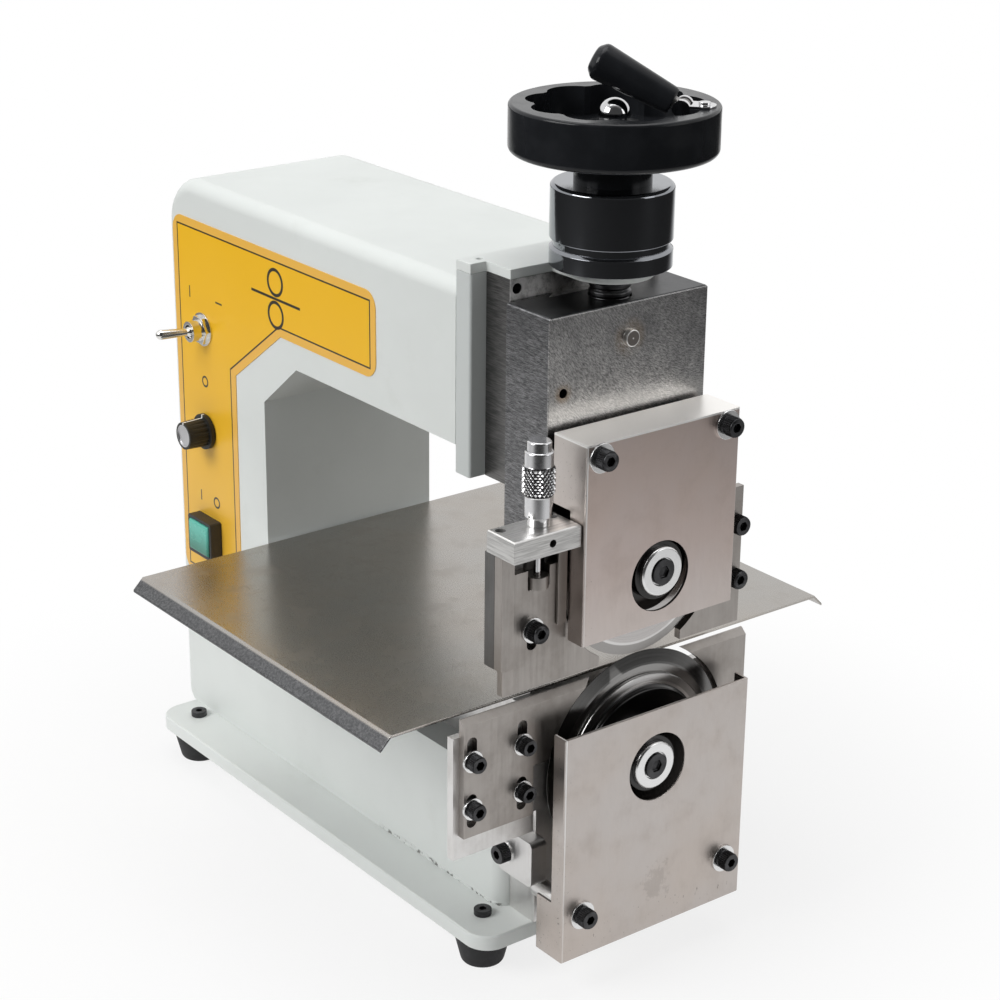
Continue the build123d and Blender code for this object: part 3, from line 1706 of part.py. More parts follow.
# Slider block: dovetail way, nut bore, pin, hole, bearing bore and the posts of its cover
upper_back_x = upper_face_x - cover_sheet
with BuildPart() as slider_block:
    slab(block_back_x, block_front_x, -block_side_y, block_side_y, block_bottom_z, block_top_z)
    chamfer(
        slider_block.faces().sort_by(Axis.Z)[-1].edges(),
        length=block_edge_chamfer,
    )
    with BuildSketch(Plane.XY.offset(block_bottom_z)):
        with BuildLine():
            Polyline(
                (block_back_x - slide_clearance, -dovetail_root_half_width - slide_clearance),
                (
                    guide_slide_front_x + dovetail_depth + slide_clearance,
                    -dovetail_tip_half_width - 2 * slide_clearance,
                ),
                (
                    guide_slide_front_x + dovetail_depth + slide_clearance,
                    dovetail_tip_half_width + 2 * slide_clearance,
                ),
                (block_back_x - slide_clearance, dovetail_root_half_width + slide_clearance),
                close=True,
            )
        make_face()
    extrude(amount=block_top_z - block_bottom_z, mode=Mode.SUBTRACT)
    rod_z(
        wheel_axis_x,
        0,
        lead_screw_bottom_z - screw_sink * 2,
        block_top_z,
        lead_screw_radius + screw_bore_clearance,
        Mode.SUBTRACT,
    )
    rod_x(block_back_x, block_front_x, 0, upper_axis_z, bearing_bore_radius, Mode.SUBTRACT)
    rod_x(
        block_front_x - bearing_width,
        block_front_x,
        0,
        upper_axis_z,
        bearing_outer_radius,
        Mode.SUBTRACT,
    )
    rod_x(
        block_back_x + dovetail_depth + slide_clearance * 2,
        block_front_x - bearing_width,
        0,
        upper_axis_z,
        bearing_outer_radius,
        Mode.SUBTRACT,
    )
    rod_x(block_front_x, block_front_x + block_pin_proud, 0, block_pin_z, block_pin_radius)
    rod_x(
        block_front_x - block_hole_depth,
        block_front_x,
        -block_hole_y,
        block_hole_z,
        block_hole_radius,
        Mode.SUBTRACT,
    )
    for side in (-1, 1):
        rod_x(block_front_x, upper_back_x, side * upper_cover_screw_y, upper_cover_screw_z, post_radius)
        rod_x(
            upper_back_x - screw_sink,
            upper_back_x,
            side * upper_cover_screw_y,
            upper_cover_screw_z,
            cap_shank_radius,
            Mode.SUBTRACT,
        )
save(slider_block.part, "slider_block")

# Upper bearings in the slider block
with BuildPart() as upper_bearings:
    bearing(block_back_x + dovetail_depth + 2 * slide_clearance, upper_axis_z)
    bearing(block_front_x - bearing_width, upper_axis_z)
save(upper_bearings.part, "upper_bearings")

# Guide carrier: a wide plate with its pad on the slider block
adjuster_x = front_x - adjuster_depth
carrier_back_x = front_x - carrier_plate_depth
with BuildPart() as guide_carrier:
    slab(
        carrier_back_x,
        guide_back_x,
        -carrier_half_left,
        carrier_half_right,
        carrier_bottom_z,
        carrier_top_z,
    )
    slab(
        block_front_x,
        carrier_back_x,
        -block_side_y,
        block_side_y,
        carrier_bottom_z,
        carrier_top_z,
    )
    rod_x(block_front_x, guide_back_x, 0, upper_axis_z, flange_way_radius, Mode.SUBTRACT)
    slab(
        adjuster_x - adjuster_nut_radius - slide_clearance,
        guide_back_x,
        -adjuster_y - adjuster_notch_half,
        adjuster_notch_half - adjuster_y,
        adjuster_nut_bottom_z - adjuster_pocket_below,
        carrier_top_z,
        mode=Mode.SUBTRACT,
    )
    rod_x(
        guide_back_x - screw_sink,
        guide_back_x,
        -clamp_screw_y,
        clamp_screw_z,
        cap_shank_radius,
        Mode.SUBTRACT,
    )
    for screw_z in right_guide_screw_zs:
        rod_x(
            guide_back_x - screw_sink,
            guide_back_x,
            right_guide_screw_y,
            screw_z,
            cap_shank_radius,
            Mode.SUBTRACT,
        )
save(guide_carrier.part, "guide_carrier")

# Rails that hold the moving guide plate
rail_x1 = front_x - rail_front_depth
with BuildPart() as guide_rails:
    slab(
        guide_back_x,
        rail_x1,
        -carrier_half_left,
        -upper_guide_left_y - guide_side_clearance,
        carrier_bottom_z,
        carrier_top_z,
    )
    slab(
        guide_front_x + lip_clearance,
        rail_x1,
        -carrier_half_left,
        rail_lip_width - carrier_half_left,
        carrier_bottom_z,
        carrier_top_z,
    )
    slab(
        guide_front_x + lip_clearance,
        rail_x1,
        -rail_right_lip_left_y,
        -rail_right_lip_right_y,
        rail_right_bottom_z,
        carrier_top_z,
    )
save(guide_rails.part, "guide_rails")

# Bracket of the fine adjuster on top of the carrier
bracket_x0 = front_x - bracket_rear_depth
bracket_x1 = front_x - bracket_front_depth
with BuildPart() as adjust_bracket:
    slab(
        bracket_x0,
        bracket_x1,
        -carrier_half_left,
        -bracket_right_y,
        bracket_bottom_z,
        bracket_top_z,
    )
    chamfer(adjust_bracket.faces().sort_by(Axis.Z)[-1].edges(), length=bracket_edge_chamfer)
    for hole_y in (bracket_hole_inset - carrier_half_left, -bracket_right_y - bracket_hole_inset):
        rod_z(
            bracket_x0 + bracket_hole_inset,
            hole_y,
            bracket_top_z - bracket_hole_depth,
            bracket_top_z,
            bracket_hole_radius,
            Mode.SUBTRACT,
        )
    rod_x(
        bracket_x1 - bracket_hole_depth,
        bracket_x1,
        -bracket_set_hole_y,
        (bracket_bottom_z + bracket_top_z) / 2,
        bracket_set_hole_radius,
        Mode.SUBTRACT,
    )
    rod_z(
        adjuster_x,
        -adjuster_y,
        bracket_bottom_z,
        bracket_top_z,
        adjuster_pin_radius + running_clearance,
        Mode.SUBTRACT,
    )
save(adjust_bracket.part, "adjust_bracket")

# Fine adjuster knob with its pin
with BuildPart() as adjust_knob:
    knob_bottom_z = bracket_top_z + adjuster_seat_gap
    with BuildSketch(Plane.XZ.offset(adjuster_y)):
        with BuildLine():
            Polyline(
                (adjuster_x, adjuster_pin_bottom_z),
                (adjuster_x + adjuster_pin_radius, adjuster_pin_bottom_z),
                (adjuster_x + adjuster_pin_radius, knob_bottom_z),
                (adjuster_x + adjuster_base_radius, knob_bottom_z),
                (adjuster_x + adjuster_base_radius, adjuster_base_top_z),
                (adjuster_x + adjuster_smooth_radius, adjuster_base_top_z + adjuster_edge),
                (adjuster_x + adjuster_smooth_radius, adjuster_smooth_top_z),
                (adjuster_x + adjuster_knurl_radius, adjuster_smooth_top_z + adjuster_edge),
                (adjuster_x + adjuster_knurl_radius, adjuster_knurl_top_z - adjuster_edge),
                (adjuster_x + adjuster_step_radius, adjuster_knurl_top_z),
                (adjuster_x + adjuster_step_radius, adjuster_step_top_z - adjuster_edge),
                (adjuster_x + adjuster_step_radius - adjuster_edge, adjuster_step_top_z),
                (adjuster_x + adjuster_cap_radius, adjuster_step_top_z),
                (adjuster_x + adjuster_cap_radius, adjuster_cap_top_z - adjuster_edge),
                (adjuster_x + adjuster_cap_radius - adjuster_edge, adjuster_cap_top_z),
                (adjuster_x, adjuster_cap_top_z),
                close=True,
            )
        make_face()
    revolve(axis=Axis((adjuster_x, -adjuster_y, 0), (0, 0, 1)))
save(adjust_knob.part, "adjust_knob")

# Moving guide plate with the adjuster's nut
with BuildPart() as upper_guide_plate:
    with BuildSketch(Plane.YZ.offset(guide_back_x)):
        with BuildLine():
            Polyline(
                (-upper_guide_left_y, upper_guide_bottom_z),
                (-upper_guide_inner_y, upper_guide_bottom_z),
                (-upper_guide_inner_y, upper_guide_top_z),
                (-upper_guide_left_y, upper_guide_top_z),
                close=True,
            )
        make_face()
        with Locations((0, upper_axis_z)):
            Circle(upper_cut_radius, mode=Mode.SUBTRACT)
        with Locations((-adjuster_y, (adjuster_nut_bottom_z + upper_guide_top_z) / 2)):
            Rectangle(
                2 * adjuster_notch_half,
                upper_guide_top_z - adjuster_nut_bottom_z,
                mode=Mode.SUBTRACT,
            )
        with Locations((-clamp_screw_y, clamp_screw_z + (clamp_slot_rise - clamp_slot_drop) / 2)):
            SlotOverall(
                clamp_slot_rise + clamp_slot_drop,
                2 * clamp_slot_radius,
                rotation=90,
                mode=Mode.SUBTRACT,
            )
    extrude(amount=guide_thickness)
    rod_z(
        adjuster_x,
        -adjuster_y,
        adjuster_nut_bottom_z,
        adjuster_nut_top_z,
        adjuster_nut_radius,
    )
    rod_z(
        adjuster_x,
        -adjuster_y,
        adjuster_nut_bottom_z,
        adjuster_nut_top_z,
        adjuster_pin_radius + running_clearance,
        Mode.SUBTRACT,
    )
save(upper_guide_plate.part, "upper_guide_plate")

# Fixed guide plate at the right
with BuildPart() as right_guide_plate:
    with BuildSketch(Plane.YZ.offset(guide_back_x)):
        with BuildLine():
            Polyline(
                (upper_guide_inner_y, upper_guide_bottom_z),
                (right_guide_right_y, upper_guide_bottom_z),
                (right_guide_right_y, right_guide_top_z),
                (upper_guide_inner_y, right_guide_top_z),
                close=True,
            )
        make_face()
        with Locations((0, upper_axis_z)):
            Circle(upper_cut_radius, mode=Mode.SUBTRACT)
        with Locations([(right_guide_screw_y, z) for z in right_guide_screw_zs]):
            Circle(cap_shank_radius, mode=Mode.SUBTRACT)
    extrude(amount=guide_thickness)
save(right_guide_plate.part, "right_guide_plate")

# Upper cover: a bent sheet, deeper at its top
with BuildPart() as upper_cover:
    slab(
        upper_back_x,
        upper_face_x,
        -upper_cover_half_width,
        upper_cover_half_width,
        upper_cover_bottom_z,
        upper_cover_top_z,
    )
    for side in (-1, 1):
        wall_y = side * (upper_cover_half_width - cover_sheet / 2)
        with Locations(
            (
                (front_x - upper_cover_depth + upper_back_x) / 2,
                wall_y,
                (upper_cover_step_z + upper_cover_top_z) / 2,
            )
        ):
            Box(
                upper_back_x - front_x + upper_cover_depth,
                cover_sheet,
                upper_cover_top_z - upper_cover_step_z,
            )
        with Locations(
            (
                (front_x - upper_cover_strip + upper_back_x) / 2,
                wall_y,
                (upper_cover_bottom_z + upper_cover_step_z) / 2,
            )
        ):
            Box(
                upper_back_x - front_x + upper_cover_strip,
                cover_sheet,
                upper_cover_step_z - upper_cover_bottom_z,
            )
    slab(
        front_x - upper_cover_depth,
        upper_back_x,
        cover_sheet - upper_cover_half_width,
        upper_cover_half_width - cover_sheet,
        upper_cover_top_z - cover_sheet,
        upper_cover_top_z,
    )
    rod_x(
        upper_back_x,
        upper_face_x,
        0,
        upper_axis_z - upper_cover_hole_drop,
        cover_hole_radius,
        Mode.SUBTRACT,
    )
    for side in (-1, 1):
        rod_x(
            upper_back_x,
            upper_face_x,
            side * upper_cover_screw_y,
            upper_cover_screw_z,
            cap_shank_radius,
            Mode.SUBTRACT,
        )
    fillet(
        upper_cover.edges().filter_by(Axis.Z).filter_by(
            lambda e: e.center().X > upper_face_x - cover_sheet / 2
        ),
        radius=cover_bend_radius / 2,
    )
save(upper_cover.part, "upper_cover")

# Cap screws of the head
with BuildPart() as upper_screws:
    for side in (-1, 1):
        cap_screw_x(
            upper_face_x + washer_thickness,
            side * upper_cover_screw_y,
            upper_cover_screw_z,
            washer_thickness + cover_sheet + screw_sink,
        )
    cap_screw_x(
        guide_front_x + lip_clearance + washer_thickness,
        -clamp_screw_y,
        clamp_screw_z,
        lip_clearance + washer_thickness + guide_thickness + screw_sink,
    )
    for screw_z in right_guide_screw_zs:
        cap_screw_x(
            guide_front_x,
            right_guide_screw_y,
            screw_z,
            guide_thickness + screw_sink,
        )
save(upper_screws.part, "upper_screws")

# Washers of the head
with BuildPart() as upper_washers:
    for side in (-1, 1):
        washer_x(upper_face_x, side * upper_cover_screw_y, upper_cover_screw_z, washer_radius)
    washer_x(guide_front_x + lip_clearance, -clamp_screw_y, clamp_screw_z, washer_small_radius)
save(upper_washers.part, "upper_washers")

# Upper spindle and what turns with it
with BuildPart() as upper_shaft:
    spindle(upper_axis_z, block_back_x + dovetail_depth + 2 * slide_clearance)
save(upper_shaft.part, "upper_shaft")

with BuildPart() as upper_blade:
    blade_profile(upper_blade_radius, upper_axis_z)
save(upper_blade.part, "upper_blade")

with BuildPart() as upper_hub:
    hub_profile(upper_hub_outer_radius, upper_hub_mid_radius, upper_axis_z)
save(upper_hub.part, "upper_hub")

with BuildPart() as upper_ring:
    ring_profile(upper_axis_z)
save(upper_ring.part, "upper_ring")

with BuildPart() as upper_axle_screw:
    axle_screw(upper_axis_z)
save(upper_axle_screw.part, "upper_axle_screw")
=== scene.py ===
import json
import math
from collections import namedtuple

import bmesh
import bpy
from mathutils import Matrix, Vector

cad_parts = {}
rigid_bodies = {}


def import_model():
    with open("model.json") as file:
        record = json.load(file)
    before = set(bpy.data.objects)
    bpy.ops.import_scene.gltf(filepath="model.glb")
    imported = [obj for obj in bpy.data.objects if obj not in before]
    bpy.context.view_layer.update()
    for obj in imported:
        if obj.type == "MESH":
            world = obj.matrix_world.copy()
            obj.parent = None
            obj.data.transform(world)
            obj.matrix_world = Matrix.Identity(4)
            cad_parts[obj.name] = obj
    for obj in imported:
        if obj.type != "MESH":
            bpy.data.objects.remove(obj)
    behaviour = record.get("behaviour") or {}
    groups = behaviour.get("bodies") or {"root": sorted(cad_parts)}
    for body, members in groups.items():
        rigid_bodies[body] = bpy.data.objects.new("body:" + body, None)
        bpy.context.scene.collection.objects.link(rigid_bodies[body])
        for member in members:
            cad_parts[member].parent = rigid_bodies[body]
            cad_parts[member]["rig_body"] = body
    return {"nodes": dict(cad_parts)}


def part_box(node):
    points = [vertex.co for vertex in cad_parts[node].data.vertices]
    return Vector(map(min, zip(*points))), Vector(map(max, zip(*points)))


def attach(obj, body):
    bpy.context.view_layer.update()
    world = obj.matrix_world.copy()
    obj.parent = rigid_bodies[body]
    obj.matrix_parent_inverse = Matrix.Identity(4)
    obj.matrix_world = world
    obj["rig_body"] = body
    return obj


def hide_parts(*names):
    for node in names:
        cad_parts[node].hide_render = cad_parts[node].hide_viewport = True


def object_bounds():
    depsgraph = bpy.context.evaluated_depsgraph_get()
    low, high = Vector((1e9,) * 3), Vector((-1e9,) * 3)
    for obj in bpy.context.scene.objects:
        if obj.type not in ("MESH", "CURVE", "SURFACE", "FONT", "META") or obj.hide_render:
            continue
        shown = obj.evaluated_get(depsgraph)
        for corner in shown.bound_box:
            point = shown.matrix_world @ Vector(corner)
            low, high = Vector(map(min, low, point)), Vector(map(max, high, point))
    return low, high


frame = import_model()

cad_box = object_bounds()

# The rubber feet are moulded tapered blocks under the base plate, each held by one screw.
# Their black rubber has a fine grain and is a little paler where it has been handled.

merge_gap = 2e-6
flat_angle = math.radians(0.6)
black_rubber = (0.022, 0.022, 0.023)


class Wire:
    """One value in a tree of nodes, so that sums of values read as plain expressions."""

    def __init__(self, recipe, socket):
        self.recipe = recipe
        self.socket = socket

    def maths(self, operation, *others):
        return self.recipe.add("ShaderNodeMath", {"operation": operation}, (self, *others))

    def reflected(self, operation, other):
        return self.recipe.add("ShaderNodeMath", {"operation": operation}, (other, self))

    def __add__(self, other):
        return self.maths("ADD", other)

    def __sub__(self, other):
        return self.maths("SUBTRACT", other)

    def __rsub__(self, other):
        return self.reflected("SUBTRACT", other)

    def __mul__(self, other):
        return self.maths("MULTIPLY", other)

    def __truediv__(self, other):
        return self.maths("DIVIDE", other)

    def __rtruediv__(self, other):
        return self.reflected("DIVIDE", other)

    def __pow__(self, other):
        return self.maths("POWER", other)

    def __gt__(self, other):
        return self.maths("GREATER_THAN", other)

    def __lt__(self, other):
        return self.maths("LESS_THAN", other)

    def __abs__(self):
        return self.maths("ABSOLUTE")

    __radd__ = __add__
    __rmul__ = __mul__


class Recipe:
    """A tree of nodes, in which finishes, rolled shapes and the room's light are written."""

    def __init__(self, tree):
        self.tree = tree
        self.tree.nodes.clear()

    def feed(self, socket, value):
        """Links a value of the tree to a socket, or sets a constant on it."""
        if isinstance(value, Wire):
            self.tree.links.new(value.socket, socket)
        elif socket.type == "RGBA" and len(value) == 3:
            socket.default_value = (*value, 1)
        else:
            socket.default_value = value

    def add(self, kind, settings=None, values=(), output=0):
        """Adds a node by its type, settings, sockets' values and the output that is used."""
        node = self.tree.nodes.new(kind)
        for name, setting in (settings or {}).items():
            setattr(node, name, setting)
        named = values.items() if isinstance(values, dict) else enumerate(values)
        for key, value in named:
            self.feed(node.inputs[key], value)
        return Wire(self, node.outputs[output])

    def span(self, value, low, high, start=0, end=1):
        """Carries low..high over to start..end, without going past them."""
        return self.add(
            "ShaderNodeMapRange",
            {"clamp": True, "interpolation_type": "SMOOTHSTEP"},
            {0: value, 1: low, 2: high, 3: start, 4: end},
        )


class Finish(Recipe):
    """A material made of nodes. Constants go to the surface's own sockets."""

    def __init__(self, name, **constants):
        self.material = bpy.data.materials.new(name)
        self.material.use_nodes = True
        super().__init__(self.material.node_tree)
        self.output = self.tree.nodes.new("ShaderNodeOutputMaterial")
        self.surface = self.tree.nodes.new("ShaderNodeBsdfPrincipled")
        self.tree.links.new(self.surface.outputs[0], self.output.inputs[0])
        self.wear(**constants)

    def place(self, scale=(1, 1, 1), turn=(0, 0, 0)):
        """Object coordinates, scaled and turned."""
        here = self.add("ShaderNodeTexCoord", output="Object")
        values = {"Vector": here, "Rotation": turn, "Scale": scale}
        return self.add("ShaderNodeMapping", {"vector_type": "POINT"}, values)

    def axes(self):
        """The three Object coordinates, in metres."""
        here = self.add("ShaderNodeTexCoord", output="Object")
        parts = self.add("ShaderNodeSeparateXYZ", {}, [here]).socket.node
        return [Wire(self, output) for output in parts.outputs]

    def least(self, first, *others):
        for other in others:
            first = first.maths("MINIMUM", other)
        return first

    def most(self, first, *others):
        for other in others:
            first = first.maths("MAXIMUM", other)
        return first

    def reach(self, first, second):
        """The distance that two values at right angles make up."""
        return (first * first + second * second) ** 0.5

    def noise(self, scale, detail=3, rough=0.5, where=None):
        where = where or self.place()
        values = {"Vector": where, "Scale": scale, "Detail": detail, "Roughness": rough}
        return self.add("ShaderNodeTexNoise", {}, values)

    def tint(self, share, first, second, mode="MIX"):
        settings = {"data_type": "RGBA", "blend_type": mode}
        return self.add("ShaderNodeMix", settings, {0: share, 6: first, 7: second}, output=2)

    def bump(self, height, distance, strength, under=None):
        values = {"Strength": strength, "Distance": distance, "Height": height}
        if under is not None:
            values["Normal"] = under
        return self.add("ShaderNodeBump", {}, values)

    def wear(self, **sockets):
        """Feeds the surface's sockets, each named in small letters."""
        inputs = {socket.name.lower().replace(" ", "_"): socket for socket in self.surface.inputs}
        for name, value in sockets.items():
            self.feed(inputs[name], value)
        return self.material


def shade(colour, *shares):
    """A colour times one share, or times a share each for its red, green and blue."""
    if len(shares) == 1:
        shares *= 3
    return [part * share for part, share in zip(colour, shares)]


def lay_out(name, data):
    """Puts a mesh, lamp or camera into the scene as an object at the origin."""
    item = bpy.data.objects.new(name, data)
    bpy.context.scene.collection.objects.link(item)
    return item


def take_out(name, shape):
    """Turns a finished bmesh into an object."""
    mesh = bpy.data.meshes.new(name)
    shape.to_mesh(mesh)
    shape.free()
    return lay_out(name, mesh)


def make_plain(piece):
    """Turns a piece and its modifiers into one plain mesh."""
    graph = bpy.context.evaluated_depsgraph_get()
    plain = bpy.data.meshes.new_from_object(piece.evaluated_get(graph))
    piece.modifiers.clear()
    piece.data = plain


def settle(piece, node, material, crease):
    """Gives a piece its finish and smooth shading, and puts it on the body of its CAD node."""
    piece.data.materials.clear()
    piece.data.materials.append(material)
    for face in piece.data.polygons:
        face.material_index = 0
    piece.data.shade_smooth()
    piece.data.set_sharp_from_angle(angle=math.radians(crease))
    weighted = piece.modifiers.new("normals", "WEIGHTED_NORMAL")
    weighted.keep_sharp = True
    make_plain(piece)
    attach(piece, frame["nodes"][node]["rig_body"])
    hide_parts(node)
    return piece


def dress(name, node, material, edge=0.0003, crease=28):
    """Copies a CAD node into one piece with joined faces and small rounded edges, in its place."""
    joined = bmesh.new()
    joined.from_mesh(frame["nodes"][node].data)
    bmesh.ops.remove_doubles(joined, verts=joined.verts, dist=merge_gap)
    bmesh.ops.dissolve_limit(
        joined, angle_limit=flat_angle, verts=joined.verts, edges=joined.edges, delimit={"NORMAL"}
    )
    piece = take_out(name, joined)
    if edge:
        bevel = piece.modifiers.new("edges", "BEVEL")
        bevel.width = edge
        bevel.segments = 2
        bevel.limit_method = "ANGLE"
        bevel.angle_limit = math.radians(crease)
        bevel.use_clamp_overlap = True
        bevel.miter_outer = "MITER_ARC"
        make_plain(piece)
    return settle(piece, node, material, crease)


def rubber(name):
    finish = Finish(name, specular_ior_level=0.35)
    grain = finish.noise(2600, 4)
    worn = finish.noise(60, 5, 0.6)
    handled = finish.span(worn, 0.45, 0.75)
    return finish.wear(
        base_color=finish.tint(handled, black_rubber, shade(black_rubber, 2.2)),
        roughness=finish.span(worn, 0.3, 0.7, 0.62, 0.8),
        normal=finish.bump(grain, 0.00006, 0.6),
    )


dress("feet", "rubber_feet", rubber("moulded_rubber"), edge=0.0009)

# The base plate, the C-shaped housing, its rear cover and the top plate are steel, sprayed with a
# pale grey green enamel that has a faint orange peel and a few small pimples of dust. A bead of
# sealer runs along the housing's foot, where it stands on the base plate.

grey_green = (0.76, 0.79, 0.77)
flange_grey = (0.60, 0.63, 0.62)
sealer_dirt = (0.16, 0.15, 0.14)
enamel_rough = (0.42, 0.50)
sealer_height = 0.0265
sealer_start = 0.02


def enamel(name, colour, sealed=False):
    finish = Finish(name, specular_ior_level=0.45)
    cloud = finish.noise(9, 4, 0.6)
    peel = finish.noise(420, 3)
    spots = {"Vector": finish.place(), "Scale": 75, "Randomness": 1}
    dust = finish.span(finish.add("ShaderNodeTexVoronoi", {"feature": "F1"}, spots), 0.05, 0.0)
    few = finish.span(finish.noise(31, 2), 0.6, 0.66)
    grime = finish.span(finish.noise(26, 6, 0.7), 0.56, 0.8)
    paint = finish.tint(finish.span(cloud, 0.3, 0.7), colour, shade(colour, 0.95))
    paint = finish.tint(grime * 0.3, paint, shade(colour, 0.8, 0.8, 0.77))
    relief = finish.bump(dust * few, 0.0004, 0.8)
    if sealed:
        x, _, z = finish.axes()
        wander = (finish.noise(60, 3) - 0.5) * 0.004
        bead = finish.span(abs(z - sealer_height + wander), 0.0018, 0.0005) * (x > sealer_start)
        pits = finish.span(finish.noise(420, 2), 0.56, 0.66) * bead
        paint = finish.tint(pits * 0.75, paint, sealer_dirt)
        relief = finish.bump(bead - pits * 2, 0.0009, 0.9, relief)
    return finish.wear(
        base_color=paint,
        roughness=finish.span(cloud, 0.3, 0.7, *enamel_rough),
        normal=finish.bump(peel, 0.00004, 0.35, relief),
    )


pale_enamel = enamel("pale_enamel", grey_green)
housing_enamel = enamel("housing_enamel", grey_green, sealed=True)
flange_enamel = enamel("flange_enamel", flange_grey)
dress("base", "base_plate", pale_enamel, edge=0.0009)
dress("housing", "c_frame", housing_enamel, edge=0.001, crease=40)
dress("rear_plate", "rear_cover", pale_enamel, edge=0.0006)
dress("top_cap", "top_plate", pale_enamel, edge=0.0006)
dress("flange", "arm_flange", flange_enamel, edge=0.0006)

# Screws, nuts and washers are bright plated steel or black oxide, turned or pressed. Bright ones
# show fine turning marks.


def plated(name, colour, rough=0.25, mottle=0.08):
    finish = Finish(name, metallic=1.0)
    stain = finish.noise(180, 5, 0.6)
    turned = finish.noise(3000, 2, 0.5)
    stained = shade(colour, 1 - mottle * 2)
    return finish.wear(
        base_color=finish.tint(finish.span(stain, 0.35, 0.7), colour, stained),
        roughness=finish.span(stain, 0.3, 0.7, rough, rough + mottle),
        normal=finish.bump(turned, 0.00002, 0.3),
    )


ring_plate = plated("ring_plate", (0.74, 0.74, 0.74), 0.24, 0.015)
black_oxide = plated("black_oxide", (0.075, 0.075, 0.078), 0.34, 0.15)
dress("housing_fasteners", "housing_screws", black_oxide, edge=0.0004)
dress("lower_washer_set", "lower_washers", ring_plate, edge=0.0002)
dress("upper_washer_set", "upper_washers", ring_plate, edge=0.0002)

# The control label is a printed film: a pale border, a thin black line and a yellow field, with a
# few plain marks beside the controls. It is glued on flat over the wide band and down the column.
# Its sizes are in millimetres.

label_left, label_right = -178.15, 21.35
label_foot, label_top = 112.0, 328.0
strip_right = -115.65
band_foot = 282.2
slant_place = (-115.15, 248.0)
slant_way = (-0.588, 0.8085)
line_inset = 5.0
line_half_width = 0.62
ring_marks = [  # x, z, radius and half of the line's width
    (-72, 311.5, 7.0, 1.1),
    (-72, 293.5, 7.0, 1.1),
    (-148.6, 235.5, 2.8, 0.75),
    (-140.5, 164.3, 2.9, 0.75),
]
bar_marks = [  # x, z and half of the length each way
    (-72, 302.5, 24, 0.75),
    (-162, 285.5, 0.5, 3.4),
    (-131, 285.5, 3.4, 0.5),
    (-157.5, 164.3, 0.5, 3.2),
]
ink_black = (0.02, 0.018, 0.015)
yellow_field = ((0.82, 0.47, 0.045), (0.93, 0.52, 0.012))
pale_border = ((0.82, 0.46, 0.085), (0.88, 0.50, 0.08))


def film(name):
    finish = Finish(name, specular_ior_level=0.5)
    x, _, z = [axis * 1000 for axis in finish.axes()]
    slant = (x - slant_place[0]) * slant_way[0] + (z - slant_place[1]) * slant_way[1]
    from_opening = finish.most(strip_right - x, z - band_foot, slant)
    from_ends = finish.least(x - label_left, label_top - z, z - label_foot, label_right - x)
    inset = finish.least(from_ends, from_opening)
    border = finish.span(inset, line_inset - 0.3, line_inset - 0.1, 1, 0)
    line = finish.span(abs(inset - line_inset), line_half_width, line_half_width - 0.32)

    def ring(centre_x, centre_z, radius, half_width):
        out = abs(finish.reach(x - centre_x, z - centre_z) - radius)
        return finish.span(out, half_width, half_width - 0.35)

    def bar(centre_x, centre_z, half_x, half_z):
        out = finish.most(abs(x - centre_x) - half_x, abs(z - centre_z) - half_z)
        return finish.span(out, 0.2, -0.2)

    rings = [ring(*mark) for mark in ring_marks]
    bars = [bar(*mark) for mark in bar_marks]
    ink = finish.most(line, *rings, *bars)
    # The yellow field and its pale border are darker towards the bottom of the label.
    upward_tone = finish.span(z, 120, 300)
    field = finish.tint(upward_tone, *yellow_field)
    return finish.wear(
        base_color=finish.tint(
            ink, finish.tint(border, field, finish.tint(upward_tone, *pale_border)), ink_black
        ),
        roughness=finish.span(finish.noise(22, 3), 0.3, 0.7, 0.3, 0.4),
        normal=finish.bump(finish.noise(60, 2), 0.00006, 0.3),
    )


dress("label_film", "control_label", film("yellow_film"), edge=0)

# The toggle switch has a nickel plated bush, nut and bat lever. The speed knob is black plastic
# with a turned silver cap and a white pointer line, and the power switch is a ribbed green rocker
# in a black bezel. All three sit in holes in the column's left side.

knob_x, knob_z = -0.14865, 0.206
cap_radius = 0.0066
cap_front_y = -0.0645
pointer_front_y = -0.0575
rocker_foot, rocker_top = 0.131, 0.150
pointer_white = (0.8, 0.8, 0.78)
cap_silver = (0.62, 0.62, 0.63)
knob_black = (0.022, 0.021, 0.018)
rocker_shaded_greens = ((0.012, 0.17, 0.11), (0.10, 0.50, 0.40))


def moulded(name, colour, rough=0.4, grain=0.00002, shine=0.5):
    finish = Finish(name, specular_ior_level=shine)
    cloud = finish.noise(90, 4)
    return finish.wear(
        base_color=finish.tint(finish.span(cloud, 0.35, 0.7), colour, shade(colour, 1.25)),
        roughness=finish.span(cloud, 0.3, 0.7, rough, rough + 0.12),
        normal=finish.bump(finish.noise(1800, 3), grain, 0.5),
    )


def capped_moulding(name):
    """The knob's black plastic, with its turned cap and its pointer line."""
    finish = Finish(name, specular_ior_level=0.3)
    x, y, z = finish.axes()
    out = finish.reach(x - knob_x, z - knob_z)
    cap = finish.span(out, cap_radius, cap_radius - 0.0003) * (y < cap_front_y)
    rings = (out * 9000).maths("SINE")
    above_cap = (z > knob_z + cap_radius) * (y < pointer_front_y)
    pointer = finish.span(abs(x - knob_x), 0.0007, 0.0004) * above_cap
    grain = finish.bump(finish.noise(1800, 3), 0.00002, 0.5)
    return finish.wear(
        base_color=finish.tint(cap, finish.tint(pointer, knob_black, pointer_white), cap_silver),
        metallic=cap,
        roughness=finish.span(cap, 0, 1, 0.42, 0.3),
        normal=finish.bump(rings * cap, 0.00002, 0.5, grain),
    )


